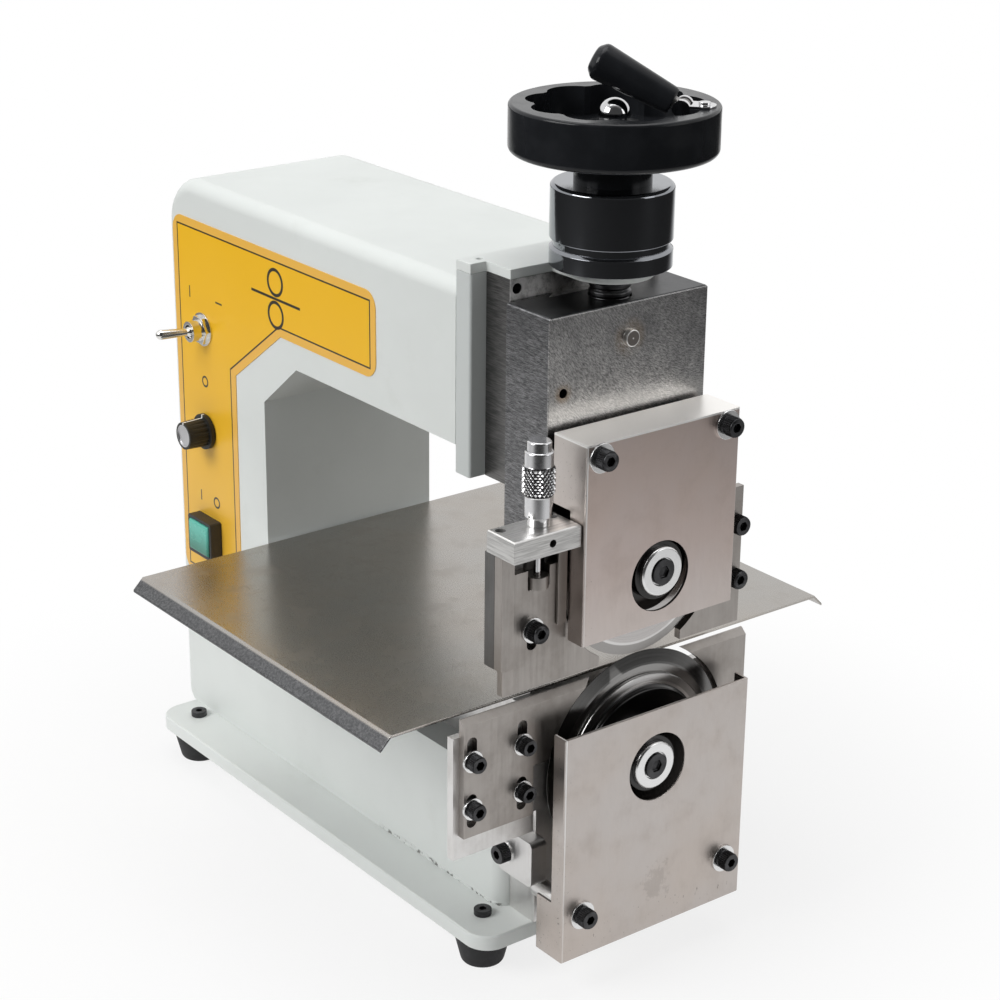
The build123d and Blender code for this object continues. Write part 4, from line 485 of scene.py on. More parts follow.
def clear_moulding(name):
    """The rocker's green plastic, with painted shade: darker green at its foot, paler towards its
    top.
    """
    finish = Finish(name, specular_ior_level=0.6)
    _, _, z = finish.axes()
    cloud = finish.noise(240, 3)
    # Painted shade: darker green at the foot, paler towards the top.
    height = finish.span(z + (cloud - 0.5) * 0.004, rocker_foot, rocker_top)
    return finish.wear(
        base_color=finish.tint(height, *rocker_shaded_greens),
        roughness=finish.span(cloud, 0.3, 0.7, 0.2, 0.3),
        normal=finish.bump(cloud, 0.0001, 0.3),
    )


nickel = plated("nickel", (0.78, 0.77, 0.74), 0.12)
black_moulding = moulded("black_moulding", (0.02, 0.02, 0.021))
dress("toggle_bush", "toggle_nut", nickel, edge=0.0002)
dress("toggle_bat", "toggle_lever", nickel, edge=0.0002)
dress("knob", "speed_knob", capped_moulding("knob_moulding"), edge=0.0003)
dress("speed_pot", "speed_control", plated("pot_steel", (0.5, 0.5, 0.5)), edge=0.0003)
dress("switch_bezel", "switch_housing", black_moulding, edge=0.0003)
dress("switch_lens", "power_button", clear_moulding("green_lens"), edge=0.0004)
dress("inlet", "power_inlet", black_moulding, edge=0.0003)

# The work table and both covers are bent from stainless sheet. The table is satin and shows
# blurred reflections, with a rough dark lip. The covers are blasted, with a warm cast, a painted
# highlight line along their bends, and short scuffs low down where strips are carried past; the
# upper cover's faces also carry a painted reflection and painted highlights.

table_colour = (0.41, 0.395, 0.375)
low_cover_colour = (0.50, 0.465, 0.445)
high_cover_colour = (0.53, 0.455, 0.43)
warm_cast = (1.0, 0.96, 0.92)
lip_tones = ((0.085, 0.087, 0.09), (0.19, 0.19, 0.195))
# The colour of the painted highlight on the covers' bends.
bend_highlight_white = (0.93, 0.92, 0.90)
peck_dirt = (0.05, 0.045, 0.04)


def sheet(name, colour, rough, lines, scuff, own_wear_and_light):
    """Stainless sheet with its grain along lines; own_wear_and_light adds one piece's wear and
    painted light.
    """
    finish = Finish(name, metallic=1.0)
    cloud = finish.noise(14, 5, 0.6)
    dull = finish.span(finish.noise(55, 6, 0.65), 0.45, 0.75)
    grain = finish.noise(1500, 3, 0.6, finish.place(lines))
    scratches = finish.noise(90, 5, 0.7, finish.place((9, 1, 1), (0.2, 0.5, 0.4)))
    mark = finish.span(scratches, 0.66, 0.72)
    warm = shade(colour, *warm_cast)
    steel = finish.tint(finish.span(cloud, 0.3, 0.7), colour, warm)
    steel = finish.tint(dull * 0.35, steel, shade(warm, 0.82))
    even = finish.span(grain, 0.25, 0.75, rough - 0.05, rough + 0.05)
    return finish.wear(
        base_color=own_wear_and_light(finish, steel),
        roughness=even + dull * 0.06 + mark * (0.1 * scuff),
        normal=finish.bump(grain, 0.00003, 0.35, finish.bump(mark, 0.00002, 0.4 * scuff)),
    )


def rough_left_lip(finish, steel):
    """The table: its left lip is rough and dark below the bend."""
    _, y, z = finish.axes()
    bend_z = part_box("work_table")[1].z - 0.0008
    lip = finish.span(z, bend_z, bend_z - 0.0008) * (y < 0)
    streaks = finish.span(finish.noise(900, 4, 0.75), 0.35, 0.7)
    return finish.tint(lip, steel, finish.tint(streaks, *lip_tones))


def bend_and_ends(node):
    """The place of a cover's left bend, and its foot and top, from its CAD node."""
    low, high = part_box(node)
    return low.y + 0.0008, low.z, high.z


def chips_and_bend_highlight(finish, steel, node, pecks=(), highlights=()):
    """Chips beside a cover's left bend, a painted highlight line on that bend, and other pecks and
    highlights.
    """
    _, y, z = finish.axes()
    bend_y, foot_z, top_z = bend_and_ends(node)
    beside = finish.span(y, bend_y + 0.007, bend_y + 0.001)
    below_top = finish.span(z, top_z - 0.001, top_z - 0.003)
    chips = finish.span(finish.noise(620, 4, 0.85), 0.635, 0.67) * (beside * below_top)
    # A painted highlight line runs up the left bend, brighter towards the top; it is made partly
    # non-metallic so that it shows white.
    side_bend_highlight = finish.span(abs(y - bend_y), 0.0005, 0.0002)
    shine = finish.most(side_bend_highlight * finish.span(z, foot_z, top_z, 0.3, 1), *highlights)
    finish.wear(metallic=1 - shine * 0.6)
    steel = finish.tint(finish.most(chips, *pecks) * 0.85, steel, peck_dirt)
    return finish.tint(shine, steel, bend_highlight_white)


def scuffed_foot(finish, steel):
    """The lower cover: strokes and one worn patch near its foot, then chips and a painted highlight
    at its bend.
    """
    _, y, z = finish.axes()
    _, foot_z, _ = bend_and_ends("lower_cover")
    strokes = finish.noise(330, 4, 0.8, finish.place((1, 1.9, 0.55), (0.5, 0, 0)))
    near_foot = finish.span(z, foot_z + 0.026, foot_z + 0.008)
    scuffs = finish.span(strokes + near_foot * 0.04, 0.69, 0.72) * near_foot
    ragged = (finish.noise(150, 5, 0.7) - 0.5) * 0.035
    patch = finish.span(finish.reach(y - 0.002, z - foot_z - 0.026) + ragged, 0.010, 0.007)
    worn = shade(shade(low_cover_colour, *warm_cast), 0.6)
    steel = finish.tint(patch * 0.35, steel, worn)
    return chips_and_bend_highlight(finish, steel, "lower_cover", pecks=[scuffs])


def painted_light_upper_cover(finish, steel):
    """The upper cover with painted light: a reflection low down and highlights on its side and top.
    """
    _, y, z = finish.axes()
    bend_y, foot_z, top_z = bend_and_ends("upper_cover")
    # A painted reflection of the bright floor makes the cover paler low down.
    low_floor_reflection = finish.span(z, foot_z, foot_z + (top_z - foot_z) * 0.45, 0.5, 0)
    # A painted highlight makes the bent side paler towards the top.
    side = finish.span(z, foot_z, top_z) * (y < bend_y)
    steel = finish.tint(low_floor_reflection, steel, (0.58, 0.55, 0.53))
    steel = finish.tint(side * 0.6, steel, (0.78, 0.76, 0.73))
    # A painted highlight makes the top flange nearly white.
    steel = finish.tint(finish.span(z, top_z - 0.0012, top_z), steel, (0.95, 0.93, 0.90))
    # A painted highlight line lies on the top bend.
    top_bend_highlight = finish.span(abs(z - top_z + 0.0006), 0.0006, 0.0002)
    return chips_and_bend_highlight(finish, steel, "upper_cover", highlights=[top_bend_highlight])


table_steel = sheet("table_steel", table_colour, 0.27, (1, 1, 1), 0.5, rough_left_lip)
cover_steel = sheet("cover_steel", low_cover_colour, 0.36, (1, 1, 0.12), 1.0, scuffed_foot)
warm_cover_steel = sheet(
    "warm_cover_steel", high_cover_colour, 0.34, (1, 1, 0.08), 0.0, painted_light_upper_cover
)
dress("table", "work_table", table_steel, edge=0.0004)
dress("cover_low", "lower_cover", cover_steel, edge=0.0010)
dress("cover_high", "upper_cover", warm_cover_steel, edge=0.0012)

# The slide and the plates are milled and left bare: steel for the slider block, its guide, the
# guide plates and rails, and aluminium for the brackets and blocks. The shafts and bearings are
# ground, and the lead screw is blackened.

slider_front_x = 0.1505
slider_top_z = 0.3451
cutter_centre = (0.075, 0.42)
slider_pin_z = 0.328
slider_pin_radius = 0.0043
tapped_hole = (-0.0398, 0.3077)
guide_front_x = 0.11835
bracket_top = 0.2525
bracket_bores = [(0.16055, -0.0830), (0.16055, -0.0527)]
bracket_bore_radius = 0.0026
bracket_bore_depth = 0.0055
set_screw_place = (-0.065, 0.247)
set_screw_front_x = 0.1715
set_screw_radius = 0.00193


def milled(name, colour, rough, scale=900, lines=(1, 1, 0.05)):
    finish = Finish(name, metallic=1.0)
    marks = finish.noise(scale, 4, 0.6, finish.place(lines))
    cloud = finish.span(finish.noise(40, 6, 0.65), 0.4, 0.75)
    return finish.wear(
        base_color=finish.tint(cloud * 0.6, colour, shade(colour, 0.72, 0.70, 0.68)),
        roughness=finish.span(marks, 0.3, 0.7, rough, rough + 0.12) + cloud * 0.05,
        normal=finish.bump(marks, 0.00003, 0.5),
    )


def fly_cut(name):
    """The slider's steel, faced with a wide cutter: arcs in front, level lines on its sides, and
    painted shade, reflection and highlights.
    """
    finish = Finish(name, metallic=1.0)
    x, y, z = finish.axes()
    front = x > slider_front_x
    drift = finish.noise(70, 4, 0.6)
    grit = finish.noise(2300, 3, 0.75)

    arcs = finish.reach(y - cutter_centre[0], z - cutter_centre[1])
    along = finish.add("ShaderNodeCombineXYZ", {}, [arcs * 2300, y * 480, z * 480])
    swept = finish.noise(1, 3, 0.7, along) * 0.6 + grit * 0.4
    levels = finish.noise(2600, 3, 0.7, finish.place((0.10, 0.10, 1))) * 0.65 + grit * 0.35
    cut = front * swept + (1 - front) * levels
    face = finish.tint(finish.span(cut, 0.36, 0.66), (0.15, 0.148, 0.148), (0.80, 0.785, 0.77))
    # Painted shade: the sides are multiplied darker than the front.
    face = finish.tint(1 - front, face, (0.50, 0.51, 0.53), "MULTIPLY")

    # Painted shade darkens the front towards its top and towards +y, mixed with a random dark
    # mottle.
    dark = finish.span(z + y * 0.35, 0.300, 0.352) * 0.45 + finish.span(drift, 0.35, 0.7) * 0.3
    face = finish.tint(dark, face, (0.13, 0.131, 0.136))
    # A painted dark reflection lies in a band along the bottom of the front.
    low_dark_reflection = finish.span(z - abs(y) * 0.10 + (drift - 0.5) * 0.01, 0.2885, 0.2825) * front
    face = finish.tint(low_dark_reflection * 0.85, face, (0.035, 0.035, 0.036))
    # A painted pale band of reflected light crosses the front above it.
    painted_sheen = finish.span(abs(z - 0.2965 + y * 0.05), 0.008, 0.0) * front
    face = finish.tint(painted_sheen * 0.35, face, (0.70, 0.68, 0.65))

    from_pin = finish.reach(y, z - slider_pin_z)
    from_hole = finish.reach(y - tapped_hole[0], z - tapped_hole[1])
    pin_stain = finish.span(from_pin, 0.0115, 0.0055) * 0.35
    hole_stain = finish.span(from_hole, 0.0065, 0.0020) * 0.5
    rust = finish.most(pin_stain, hole_stain) * front * finish.span(drift, 0.2, 0.6)
    face = finish.tint(rust, face, (0.36, 0.24, 0.12))

    pin_face = finish.span(from_pin, slider_pin_radius + 0.00005, slider_pin_radius) * front
    groove = finish.span(abs(from_pin - slider_pin_radius + 0.0004), 0.0004, 0.0002)
    centre_dot = finish.span(from_pin, 0.0006, 0.0003)
    rim_highlight = (from_pin > slider_pin_radius - 0.0004) * pin_face
    face = finish.tint(pin_face, face, (0.22, 0.20, 0.185))
    # The pin's outer edge is painted bright as a highlight of its rounded edge, with a bright
    # groove and centre dot.
    face = finish.tint(finish.most(groove, centre_dot, rim_highlight) * front, face, (0.85, 0.84, 0.82))

    return finish.wear(
        # Painted shade: the top face is painted nearly black.
        base_color=finish.tint((z > slider_top_z) * 0.8, face, (0.03, 0.031, 0.033)),
        roughness=finish.span(cut, 0.3, 0.75, 0.30, 0.42),
        normal=finish.bump(cut * (1 - pin_face), 0.00007, 0.6),
    )


def scraped(name):
    """The slide guide's dark scraped steel, rubbed bright on its front end."""
    finish = Finish(name, metallic=1.0)
    x, _, _ = finish.axes()
    lines = finish.noise(1700, 4, 0.65, finish.place((0.08, 0.08, 1)))
    stain = finish.span(finish.noise(110, 5, 0.7), 0.4, 0.65)
    rubbed = finish.span(x, guide_front_x - 0.0006, guide_front_x - 0.0002) * (1 - stain * 0.7)
    face = finish.tint(finish.span(lines, 0.35, 0.7), (0.15, 0.148, 0.147), (0.26, 0.255, 0.25))
    return finish.wear(
        base_color=finish.tint(rubbed, face, (0.72, 0.71, 0.70)),
        roughness=finish.span(lines, 0.3, 0.7, 0.32, 0.45),
        normal=finish.bump(lines, 0.00004, 0.5),
    )


def drilled(name, colour):
    """The bracket's aluminium: level cutter lines, its bores and a set screw's bore painted black
    as shade, and its sides painted darker.
    """
    finish = Finish(name, metallic=1.0)
    x, y, z = finish.axes()
    level = finish.noise(1500, 4, 0.6, finish.place((0.05, 0.05, 1)))
    across = finish.noise(900, 4, 0.6, finish.place((1, 0.05, 1)))
    on_top = finish.span(z, bracket_top - 0.0006, bracket_top - 0.0001)
    lines = on_top * (across - level) + level

    def bore(from_axis, radius):
        return finish.span(from_axis, radius + 0.00005, radius - 0.00005)

    bores = finish.most(*[
        bore(finish.reach(x - bore_x, y - bore_y), bracket_bore_radius)
        for bore_x, bore_y in bracket_bores
    ])
    from_set_screw = finish.reach(y - set_screw_place[0], z - set_screw_place[1])
    set_bore = bore(from_set_screw, set_screw_radius) * (x > set_screw_front_x)
    # The bores and the set screw's bore are painted black as the shade inside them.
    hole_shade = finish.most(bores * (z > bracket_top - bracket_bore_depth), set_bore)
    face = finish.tint(finish.span(lines, 0.35, 0.7), colour, shade(colour, 0.68))
    # Painted shade: every face below the top is multiplied darker.
    below_top = finish.span(z, bracket_top - 0.0002, bracket_top - 0.0006)
    face = finish.tint(below_top, face, (0.66, 0.66, 0.66), "MULTIPLY")
    return finish.wear(
        base_color=finish.tint(hole_shade, face, (0.004, 0.004, 0.004)),
        metallic=1 - hole_shade,
        roughness=finish.span(lines, 0.3, 0.7, 0.30, 0.42) + hole_shade * 0.5,
        normal=finish.bump(lines, 0.00004, 0.5),
    )


raw_aluminium = milled("raw_aluminium", (0.72, 0.71, 0.70), 0.34)
dark_aluminium = milled("dark_aluminium", (0.16, 0.158, 0.155), 0.34)
bracket_aluminium = drilled("bracket_aluminium", (0.98, 0.97, 0.95))
guide_steel = milled("guide_steel", (0.36, 0.335, 0.315), 0.30)
ground_steel = milled("ground_steel", (0.30, 0.295, 0.29), 0.30, 1400, (1, 1, 0.03))
thread_steel = plated("thread_steel", (0.09, 0.09, 0.093), 0.28, 0.12)
dress("slide", "slide_guide", scraped("scraped_steel"), edge=0.0004)
dress("bracket", "adjust_bracket", bracket_aluminium, edge=0.0004)
dress("slider", "slider_block", fly_cut("fly_cut_steel"), edge=0.0004)
dress("screw", "lead_screw", thread_steel, edge=0.0003)
dress("carrier", "guide_carrier", dark_aluminium, edge=0.0004)
aluminium_parts = {
    "supports": "table_supports",
    "block_low": "bearing_block",
    "front_mount": "front_plate",
    "backing": "guide_backing_plate",
    "tab": "side_tab",
    "pulley_driven": "driven_pulley",
    "pulley_motor": "motor_pulley",
}
for name, node in aluminium_parts.items():
    dress(name, node, raw_aluminium, edge=0.0004)
guide_parts = {
    "knife_low": "lower_guide_plate",
    "rails": "guide_rails",
    "knife_right": "right_guide_plate",
    "knife_high": "upper_guide_plate",
}
for name, node in guide_parts.items():
    dress(name, node, guide_steel, edge=0.0003)
steel_parts = {
    "races_low": "lower_bearings",
    "races_high": "upper_bearings",
    "spindle_low": "lower_shaft",
    "spindle_high": "upper_shaft",
    "stud": "handle_stud",
}
for name, node in steel_parts.items():
    dress(name, node, ground_steel, edge=0.0004)

# The blades are lapped tool steel discs, clamped on their hubs. The bright rings behind the
# covers' holes hold them there, each with one black screw in the end of its shaft.

low_axis_z = 0.1137
high_axis_z = 0.2179
lapped_dark = (0.12, 0.115, 0.11)
ridge_highlight_white = (0.8, 0.79, 0.78)


def lapped(name, axis_z, step, ridge, inner, outer):
    """Steel, lapped in rings round its axle, with a painted highlight on the ridge at a step."""
    finish = Finish(name, metallic=1.0)
    _, y, z = finish.axes()
    out = finish.reach(y, z - axis_z)
    rings = finish.noise(1, 4, 0.7, finish.add("ShaderNodeCombineXYZ", {}, [out * 900, 0.0, 0.0]))
    inside = finish.span(out, step + 0.0003, step - 0.0003)
    # A painted highlight lies on the ridge at the step.
    ridge_highlight_mask = finish.span(abs(out - step - 0.0007), 0.0010, 0.0004)
    face = finish.tint(rings * 0.35, finish.tint(inside, outer, inner), lapped_dark)
    return finish.wear(
        base_color=finish.tint(ridge_highlight_mask * ridge, face, ridge_highlight_white),
        roughness=finish.span(rings, 0.3, 0.7, 0.16, 0.26),
        normal=finish.bump(rings, 0.00003, 0.5),
    )


dark_lapped = lapped(
    "dark_lapped", low_axis_z, 0.0480, 0.15, inner=(0.30, 0.295, 0.29), outer=(0.17, 0.168, 0.165)
)
pale_lapped = lapped(
    "pale_lapped", high_axis_z, 0.0415, 0.6, inner=(0.52, 0.50, 0.49), outer=(0.33, 0.32, 0.31)
)
low_hub_steel = lapped(
    "low_hub_steel", low_axis_z, 0.0386, 1.0, inner=(0.035, 0.035, 0.036), outer=(0.52, 0.515, 0.51)
)
high_hub_steel = lapped(
    "high_hub_steel", high_axis_z, 0.0240, 0.3, inner=(0.03, 0.03, 0.03), outer=(0.50, 0.48, 0.47)
)
dress("blade_low", "lower_blade", dark_lapped, edge=0)
dress("blade_high", "upper_blade", pale_lapped, edge=0)
dress("hub_low", "lower_hub", low_hub_steel, edge=0.0005)
dress("hub_high", "upper_hub", high_hub_steel, edge=0.0005)
dress("ring_low", "lower_ring", ring_plate, edge=0.0003)
dress("ring_high", "upper_ring", ring_plate, edge=0.0003)
dress("axle_screw_low", "lower_axle_screw", black_oxide, edge=0.0003)
dress("axle_screw_high", "upper_axle_screw", black_oxide, edge=0.0003)

# The motor is a can of enamelled steel on a foot, inside the leg and under the lower shaft. A
# plain belt of black rubber runs from its pulley up to the larger one on that shaft.

motor_enamel = moulded("motor_enamel", (0.03, 0.03, 0.032))
dress("motor_can", "motor", motor_enamel, edge=0.0006)
dress("belt", "drive_belt", rubber("belt_rubber"), edge=0.0002)

# The collar is turned steel with a dark mirror finish. The wheel and its grip are black phenolic,
# polished out of the mould, and the nut and fork are chromed.

dark_mirror = plated("dark_mirror", (0.27, 0.28, 0.30), 0.08, 0.02)
mirror = plated("mirror", (0.66, 0.66, 0.67), 0.08, 0.03)
phenolic = moulded("phenolic", (0.012, 0.013, 0.015), rough=0.13, grain=0.000002, shine=0.2)
dress("collar_low", "collar_base", dark_mirror, edge=0.0003)
dress("collar_high", "dial_collar", dark_mirror, edge=0.0006)
dress("wheel", "handwheel", phenolic, edge=0.0004)
dress("wheel_nut", "dome_nut", mirror, edge=0.0003)
dress("fork", "handle_fork", mirror, edge=0.0004)
dress("grip_handle", "handle_grip", phenolic, edge=0.0012, crease=20)

# The fine adjuster is turned and chromed, with a black nut under the bracket. A diamond knurl is
# rolled round its upper part, as staggered rows of small pyramids, so that fingers can turn it.

knurl_axis = (0.16475, -0.0643)
knurl_foot = 0.2679
knurl_length = 0.0138
knurl_root = 0.0071
knurl_depth = 0.0009
knurl_columns = 22
knurl_rows = 9
nut_top = 0.2285
adjuster_pin_radius = 0.0025


def knurled_chrome(name):
    """Chrome with painted shade in the knurl's valleys; the nut under the bracket is black."""
    finish = Finish(name, metallic=1.0)
    x, y, z = finish.axes()
    out = finish.reach(x - knurl_axis[0], y - knurl_axis[1])
    rolled = (z > knurl_foot - 0.0003) * (z < knurl_foot + knurl_length + 0.0003)
    # Painted shade darkens the knurl's valleys.
    valley_shade = finish.span(out, knurl_root + 0.0001, knurl_root + knurl_depth * 0.6, 1, 0) * rolled
    nut = (z < nut_top) * (out > adjuster_pin_radius)
    chrome = finish.tint(valley_shade * 0.9, (0.66, 0.66, 0.67), (0.09, 0.09, 0.092))
    return finish.wear(
        base_color=finish.tint(nut, chrome, (0.03, 0.03, 0.031)),
        roughness=finish.span(finish.noise(900, 3), 0.3, 0.7, 0.1, 0.16),
    )


class Growth(Recipe):
    """A Geometry Nodes tree with named inputs, run once on an empty mesh."""

    def __init__(self, name):
        super().__init__(bpy.data.node_groups.new(name, "GeometryNodeTree"))
        self.tree.interface.new_socket("Mesh", in_out="OUTPUT", socket_type="NodeSocketGeometry")
        self.start = self.tree.nodes.new("NodeGroupInput")
        self.end = self.tree.nodes.new("NodeGroupOutput")
        self.given = {}

    def ask(self, name, value):
        """Adds a named input, whole or not as its value is, and keeps that value for it."""
        kind = "NodeSocketInt" if isinstance(value, int) else "NodeSocketFloat"
        socket = self.tree.interface.new_socket(name, in_out="INPUT", socket_type=kind)
        self.given[socket.identifier] = value
        return Wire(self, self.start.outputs[name])

    def point(self, x, y, z):
        return self.add("ShaderNodeCombineXYZ", {}, [x, y, z])

    def spread(self, count, spots, shape, turn, stretch=(1, 1, 1)):
        """Puts a shape on each of a number of spots."""
        line = self.add("GeometryNodeMeshLine", {"mode": "OFFSET"}, {"Count": count})
        placed = self.add("GeometryNodeSetPosition", {}, {"Geometry": line, "Position": spots})
        values = {"Points": placed, "Instance": shape, "Rotation": turn, "Scale": stretch}
        return self.add("GeometryNodeInstanceOnPoints", {}, values)

    def grow(self, name, shapes, material):
        """Ends the tree and gives its plain mesh as an object."""
        whole = self.add("GeometryNodeRealizeInstances", {}, [shapes])
        values = {"Geometry": whole, "Material": material}
        self.feed(self.end.inputs[0], self.add("GeometryNodeSetMaterial", {}, values))
        piece = lay_out(name, bpy.data.meshes.new(name))
        modifier = piece.modifiers.new(name, "NODES")
        modifier.node_group = self.tree
        for identifier, value in self.given.items():
            modifier[identifier] = value
        make_plain(piece)
        return piece


knob_chrome = knurled_chrome("knob_chrome")
rolling = Growth("diamond_knurl")
columns = rolling.ask("Columns", knurl_columns)
rows = rolling.ask("Rows", knurl_rows)
root = rolling.ask("Root Radius", knurl_root)
tooth = rolling.ask("Tooth Depth", knurl_depth)
foot = rolling.ask("Foot", knurl_foot)
length = rolling.ask("Length", knurl_length)
axis_x = rolling.ask("Axis X", knurl_axis[0])
axis_y = rolling.ask("Axis Y", knurl_axis[1])
index = rolling.add("GeometryNodeInputIndex")
row = (index / columns).maths("FLOOR")
column = index - row * columns
stagger = row.maths("MODULO", 2) * 0.5
angle = (column + stagger) / columns * (2 * math.pi)
pitch = length / (rows + 1)
half_width = root * math.pi / columns
spots = rolling.point(
    axis_x + root * angle.maths("COSINE"),
    axis_y + root * angle.maths("SINE"),
    foot + (row + 1) * pitch,
)
pyramid = rolling.add("GeometryNodeMeshCone", {"fill_type": "NGON"}, {
    "Vertices": 4,
    "Side Segments": 1,
    "Fill Segments": 1,
    "Radius Top": 0.0,
    "Radius Bottom": half_width,
    "Depth": tooth,
})
outward = rolling.point(0.0, math.pi / 2, angle)
stretch = rolling.point(pitch / half_width, 1.0, 1.0)
teeth = rolling.spread(rows * columns, spots, pyramid, outward, stretch)
knurl = rolling.grow("rolled_knurl", teeth, knob_chrome)
settle(knurl, "adjust_knob", knob_chrome, crease=10)
fine_knob = dress("fine_knob", "adjust_knob", knob_chrome, edge=0.0002)
for corner in fine_knob.data.vertices:
    out = Vector((corner.co.x - knurl_axis[0], corner.co.y - knurl_axis[1]))
    above_foot = corner.co.z - knurl_foot
    if out.length > knurl_root and -0.001 < above_foot < knurl_length + 0.001:
        out = out.normalized() * knurl_root
        corner.co.x, corner.co.y = knurl_axis[0] + out.x, knurl_axis[1] + out.y

# The covers and guide plates are held by black socket cap screws. Straight ribs are rolled round
# their heads, and the screw in the side tab has a wide washer under it.

rib_depth = 0.00045
rib_count = 30
head_edge = 0.0007
head_side = (0.97, 1.01)
head_end_gap = 1e-5
tab_washer_radius = 0.0056
tab_washer_thickness = 0.0008
Head = namedtuple("Head", "centre way radius start end")


def loose_parts(node):
    """The corners of each separate solid in a CAD node."""
    mesh = bmesh.new()
    mesh.from_mesh(frame["nodes"][node].data)
    bmesh.ops.remove_doubles(mesh, verts=mesh.verts, dist=merge_gap)
    parts, seen = [], set()
    for first in mesh.verts:
        if first.index in seen:
            continue
        seen.add(first.index)
        part, queue = [], [first]
        while queue:
            corner = queue.pop()
            part.append(corner.co.copy())
            for other in [edge.other_vert(corner) for edge in corner.link_edges]:
                if other.index not in seen:
                    seen.add(other.index)
                    queue.append(other)
        parts.append(part)
    mesh.free()
    return parts


def cap_heads(node):
    """Each screw's head: its centre, the way it lies, its radius and its two ends."""
    heads = []
    for part in loose_parts(node):
        low = Vector([min(corner[way] for corner in part) for way in range(3)])
        high = Vector([max(corner[way] for corner in part) for way in range(3)])
        size = list(high - low)
        way = size.index(max(size))
        centre = (low + high) / 2
        across = [other for other in range(3) if other != way]
        out = [math.hypot(*[corner[other] - centre[other] for other in across]) for corner in part]
        radius = max(out)
        side = [corner[way] for corner, far in zip(part, out) if far > head_side[0] * radius]
        heads.append(Head(centre, way, radius, min(side), max(side)))
    return heads


def rolled_ribs(head, material):
    """A ring of straight ribs round one head, made along x and then turned the screw's way."""
    rolling = Growth("head_ribs")
    count = rolling.ask("Count", rib_count)
    reach = rolling.ask("Radius", head.radius)
    depth = rolling.ask("Depth", rib_depth)
    length = rolling.ask("Length", head.end - head.start - 2 * head_edge)
    angle = rolling.add("GeometryNodeInputIndex") / count * (2 * math.pi)
    ring = reach - depth
    spots = rolling.point(0.0, ring * angle.maths("COSINE"), ring * angle.maths("SINE"))
    side = depth * math.sqrt(2)
    bar = rolling.add("GeometryNodeMeshCube", {}, {"Size": rolling.point(length, side, side)})
    ribs = rolling.spread(count, spots, bar, rolling.point(angle + math.pi / 4, 0.0, 0.0))
    piece = rolling.grow("head_ribs", ribs, material)
    quarter = math.pi / 2
    turns = (Matrix.Identity(4), Matrix.Rotation(quarter, 4, "Z"), Matrix.Rotation(quarter, 4, "Y"))
    place = head.centre.copy()
    place[head.way] = (head.start + head.end) / 2
    piece.data.transform(Matrix.Translation(place) @ turns[head.way])
    return piece


for name in ("lower", "upper"):
    node = name + "_screws"
    heads = cap_heads(node)
    screws = dress(name + "_fasteners", node, black_oxide, edge=0.0004)
    gathered = bmesh.new()
    for head in heads:
        for corner in screws.data.vertices:
            out = corner.co - head.centre
            out[head.way] = 0
            on_side = head_side[0] < out.length / head.radius < head_side[1]
            along = corner.co[head.way]
            if on_side and head.start - head_end_gap < along < head.end + head_end_gap:
                corner.co -= out * (rib_depth / head.radius)
        ring = rolled_ribs(head, black_oxide)
        gathered.from_mesh(ring.data)
        bpy.data.objects.remove(ring)
    ribs = take_out(name + "_head_ribs", gathered)
    settle(ribs, node, black_oxide, crease=20)

for head in cap_heads("lower_screws"):
    if head.way == 1:
        disc = bmesh.new()
        place = Vector((head.centre.x, head.end - tab_washer_thickness / 2, head.centre.z))
        bmesh.ops.create_cone(
            disc,
            cap_ends=True,
            segments=48,
            radius1=tab_washer_radius,
            radius2=tab_washer_radius,
            depth=tab_washer_thickness,
            matrix=Matrix.Translation(place) @ Matrix.Rotation(math.pi / 2, 4, "X"),
        )
        tab_washer = take_out("tab_washer", disc)
        settle(tab_washer, "lower_washers", ring_plate, crease=35)

# The object stands on a white paper sweep, which ends a little in front of it: beyond that the
# studio floor is dark. The paper shows white to the camera and in metal, and takes the object's
# shadow.

view_yaw = math.radians(52.27)
ahead = (math.sin(view_yaw), -math.cos(view_yaw))
paper_white = 0.9
studio_dark = 0.05
paper_end = (0.30, 0.95)
paper_side = (0.30, 1.20)
shadow_reach = (0.18, 0.42)
shadow_share = 0.20
floor_half = 6.0

floor_corners = [(-1, -1), (1, -1), (1, 1), (-1, 1)]
floor_mesh = bpy.data.meshes.new("floor")
floor_mesh.from_pydata(
    [(x * floor_half, y * floor_half, 0) for x, y in floor_corners], [], [(0, 1, 2, 3)]
)
floor = lay_out("floor", floor_mesh)

paper = Finish("paper", roughness=0.9, specular_ior_level=0.1)
floor_x, floor_y, _ = paper.axes()
forward = floor_x * ahead[0] + floor_y * ahead[1]
leftward = floor_x * ahead[1] - floor_y * ahead[0]
lit = paper.span(forward, *paper_end, 1, 0) * paper.span(abs(leftward), *paper_side, 1, 0)
paper.wear(base_color=paper.tint(lit, (studio_dark,) * 3, (paper_white,) * 3))
seen, glossy, clear = [
    paper.add("ShaderNodeLightPath", output=ray)
    for ray in ("Is Camera Ray", "Is Glossy Ray", "Is Transmission Ray")
]
shadow = paper.span(paper.reach(floor_x, floor_y), *shadow_reach, 1 - shadow_share, 1)
white = (seen + (glossy + clear) * lit) * shadow
plain = Wire(paper, paper.surface.outputs[0])
glow = paper.add("ShaderNodeEmission", {}, {"Strength": 1.0})
paper.feed(paper.output.inputs[0], paper.add("ShaderNodeMixShader", {}, [white, plain, glow]))
floor_mesh.materials.append(paper.material)

# Round the sweep the room gives an even fill. In shiny faces it shows white behind the object and
# darkness behind the camera, and three soft lamps stand round it.

fill_level = 0.27
behind_level = 1.0
dark_level = 0.06
room_turn = (-0.1, 0.6)

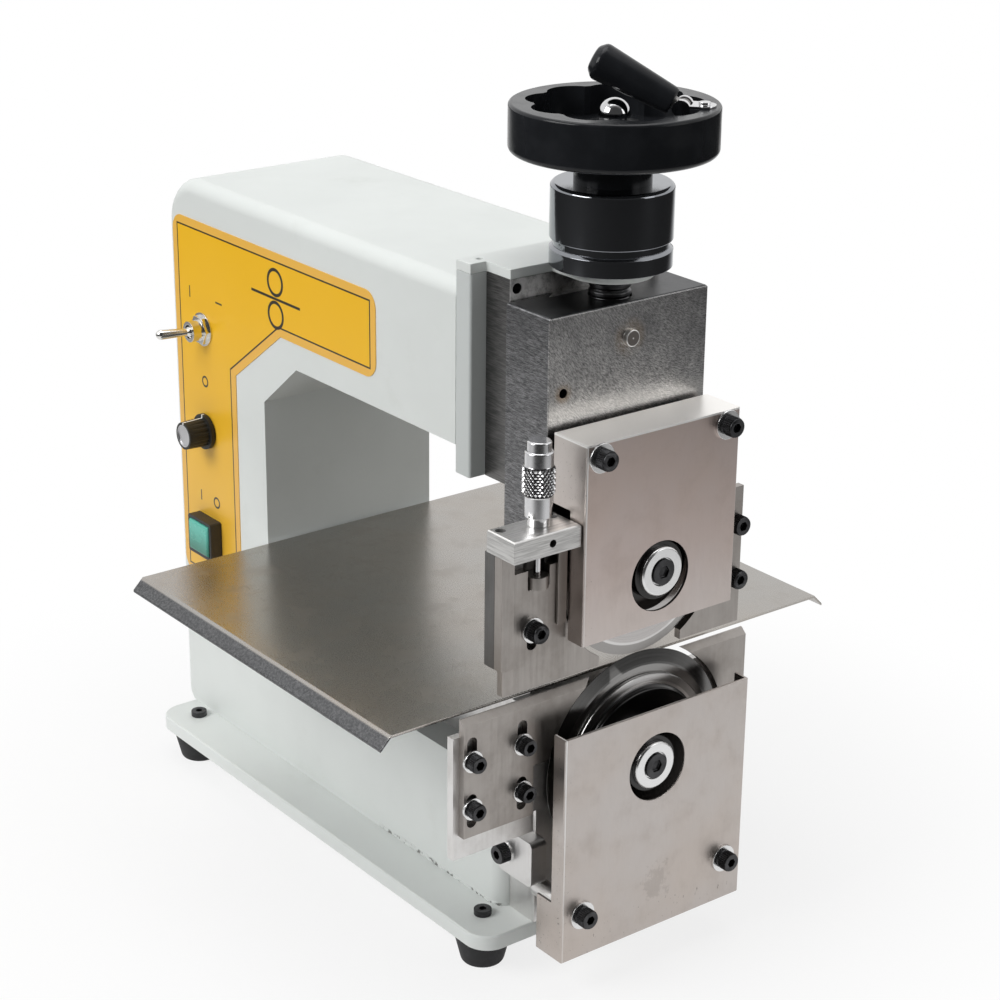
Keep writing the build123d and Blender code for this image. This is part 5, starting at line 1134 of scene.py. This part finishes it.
bpy.context.scene.world = bpy.data.worlds.new("studio")
bpy.context.scene.world.use_nodes = True
room = Recipe(bpy.context.scene.world.node_tree)


def background(strength):
    return room.add("ShaderNodeBackground", {}, {"Color": (1, 1, 1), "Strength": strength})


direction = room.add("ShaderNodeTexCoord", output="Generated")
towards = room.add(
    "ShaderNodeVectorMath", {"operation": "DOT_PRODUCT"}, [direction, (*ahead, 0.0)], output="Value"
)
in_metal = background(room.span(towards, *room_turn, behind_level, dark_level))
seen, glossy = [
    room.add("ShaderNodeLightPath", output=ray) for ray in ("Is Camera Ray", "Is Glossy Ray")
]
lighting = room.add("ShaderNodeMixShader", {}, [glossy, background(fill_level), in_metal])
whole = room.add("ShaderNodeMixShader", {}, [seen, lighting, background(1.0)])
room.feed(room.tree.nodes.new("ShaderNodeOutputWorld").inputs[0], whole)


def soft_lamp(name, place, width, height, power):
    lamp = bpy.data.lights.new(name, "AREA")
    lamp.shape = "RECTANGLE"
    lamp.size = width
    lamp.size_y = height
    lamp.energy = power
    holder = lay_out(name, lamp)
    holder.location = place
    aim = (cad_box[0] + cad_box[1]) / 2 - Vector(place)
    holder.rotation_euler = aim.to_track_quat("-Z", "Y").to_euler()


soft_lamp("lamp_left", (-0.3, -1.7, 1.4), width=1.2, height=1.0, power=26)
soft_lamp("lamp_top", (-0.1, 0.1, 2.0), width=1.4, height=1.4, power=15)
soft_lamp("lamp_right", (1.6, 0.9, 0.9), width=0.7, height=1.4, power=4)

# The camera stands where the photograph was taken from: in front of the blades and to their left,
# looking down on the object through a long lens.

camera_place = (0.95945, -0.7016, 0.6625)
camera_pitch = math.radians(21.35)
camera_roll = math.radians(0.60)
camera = lay_out("camera", bpy.data.cameras.new("camera"))
camera.data.sensor_width = 36.0
camera.data.lens = 85.3
camera.data.clip_end = 50
camera.matrix_world = Matrix.Translation(camera_place) @ (
    Matrix.Rotation(view_yaw, 4, "Z")
    @ Matrix.Rotation(math.pi / 2 - camera_pitch, 4, "X")
    @ Matrix.Rotation(camera_roll, 4, "Z")
)
bpy.context.scene.camera = camera
bpy.context.scene.view_settings.view_transform = "Standard"
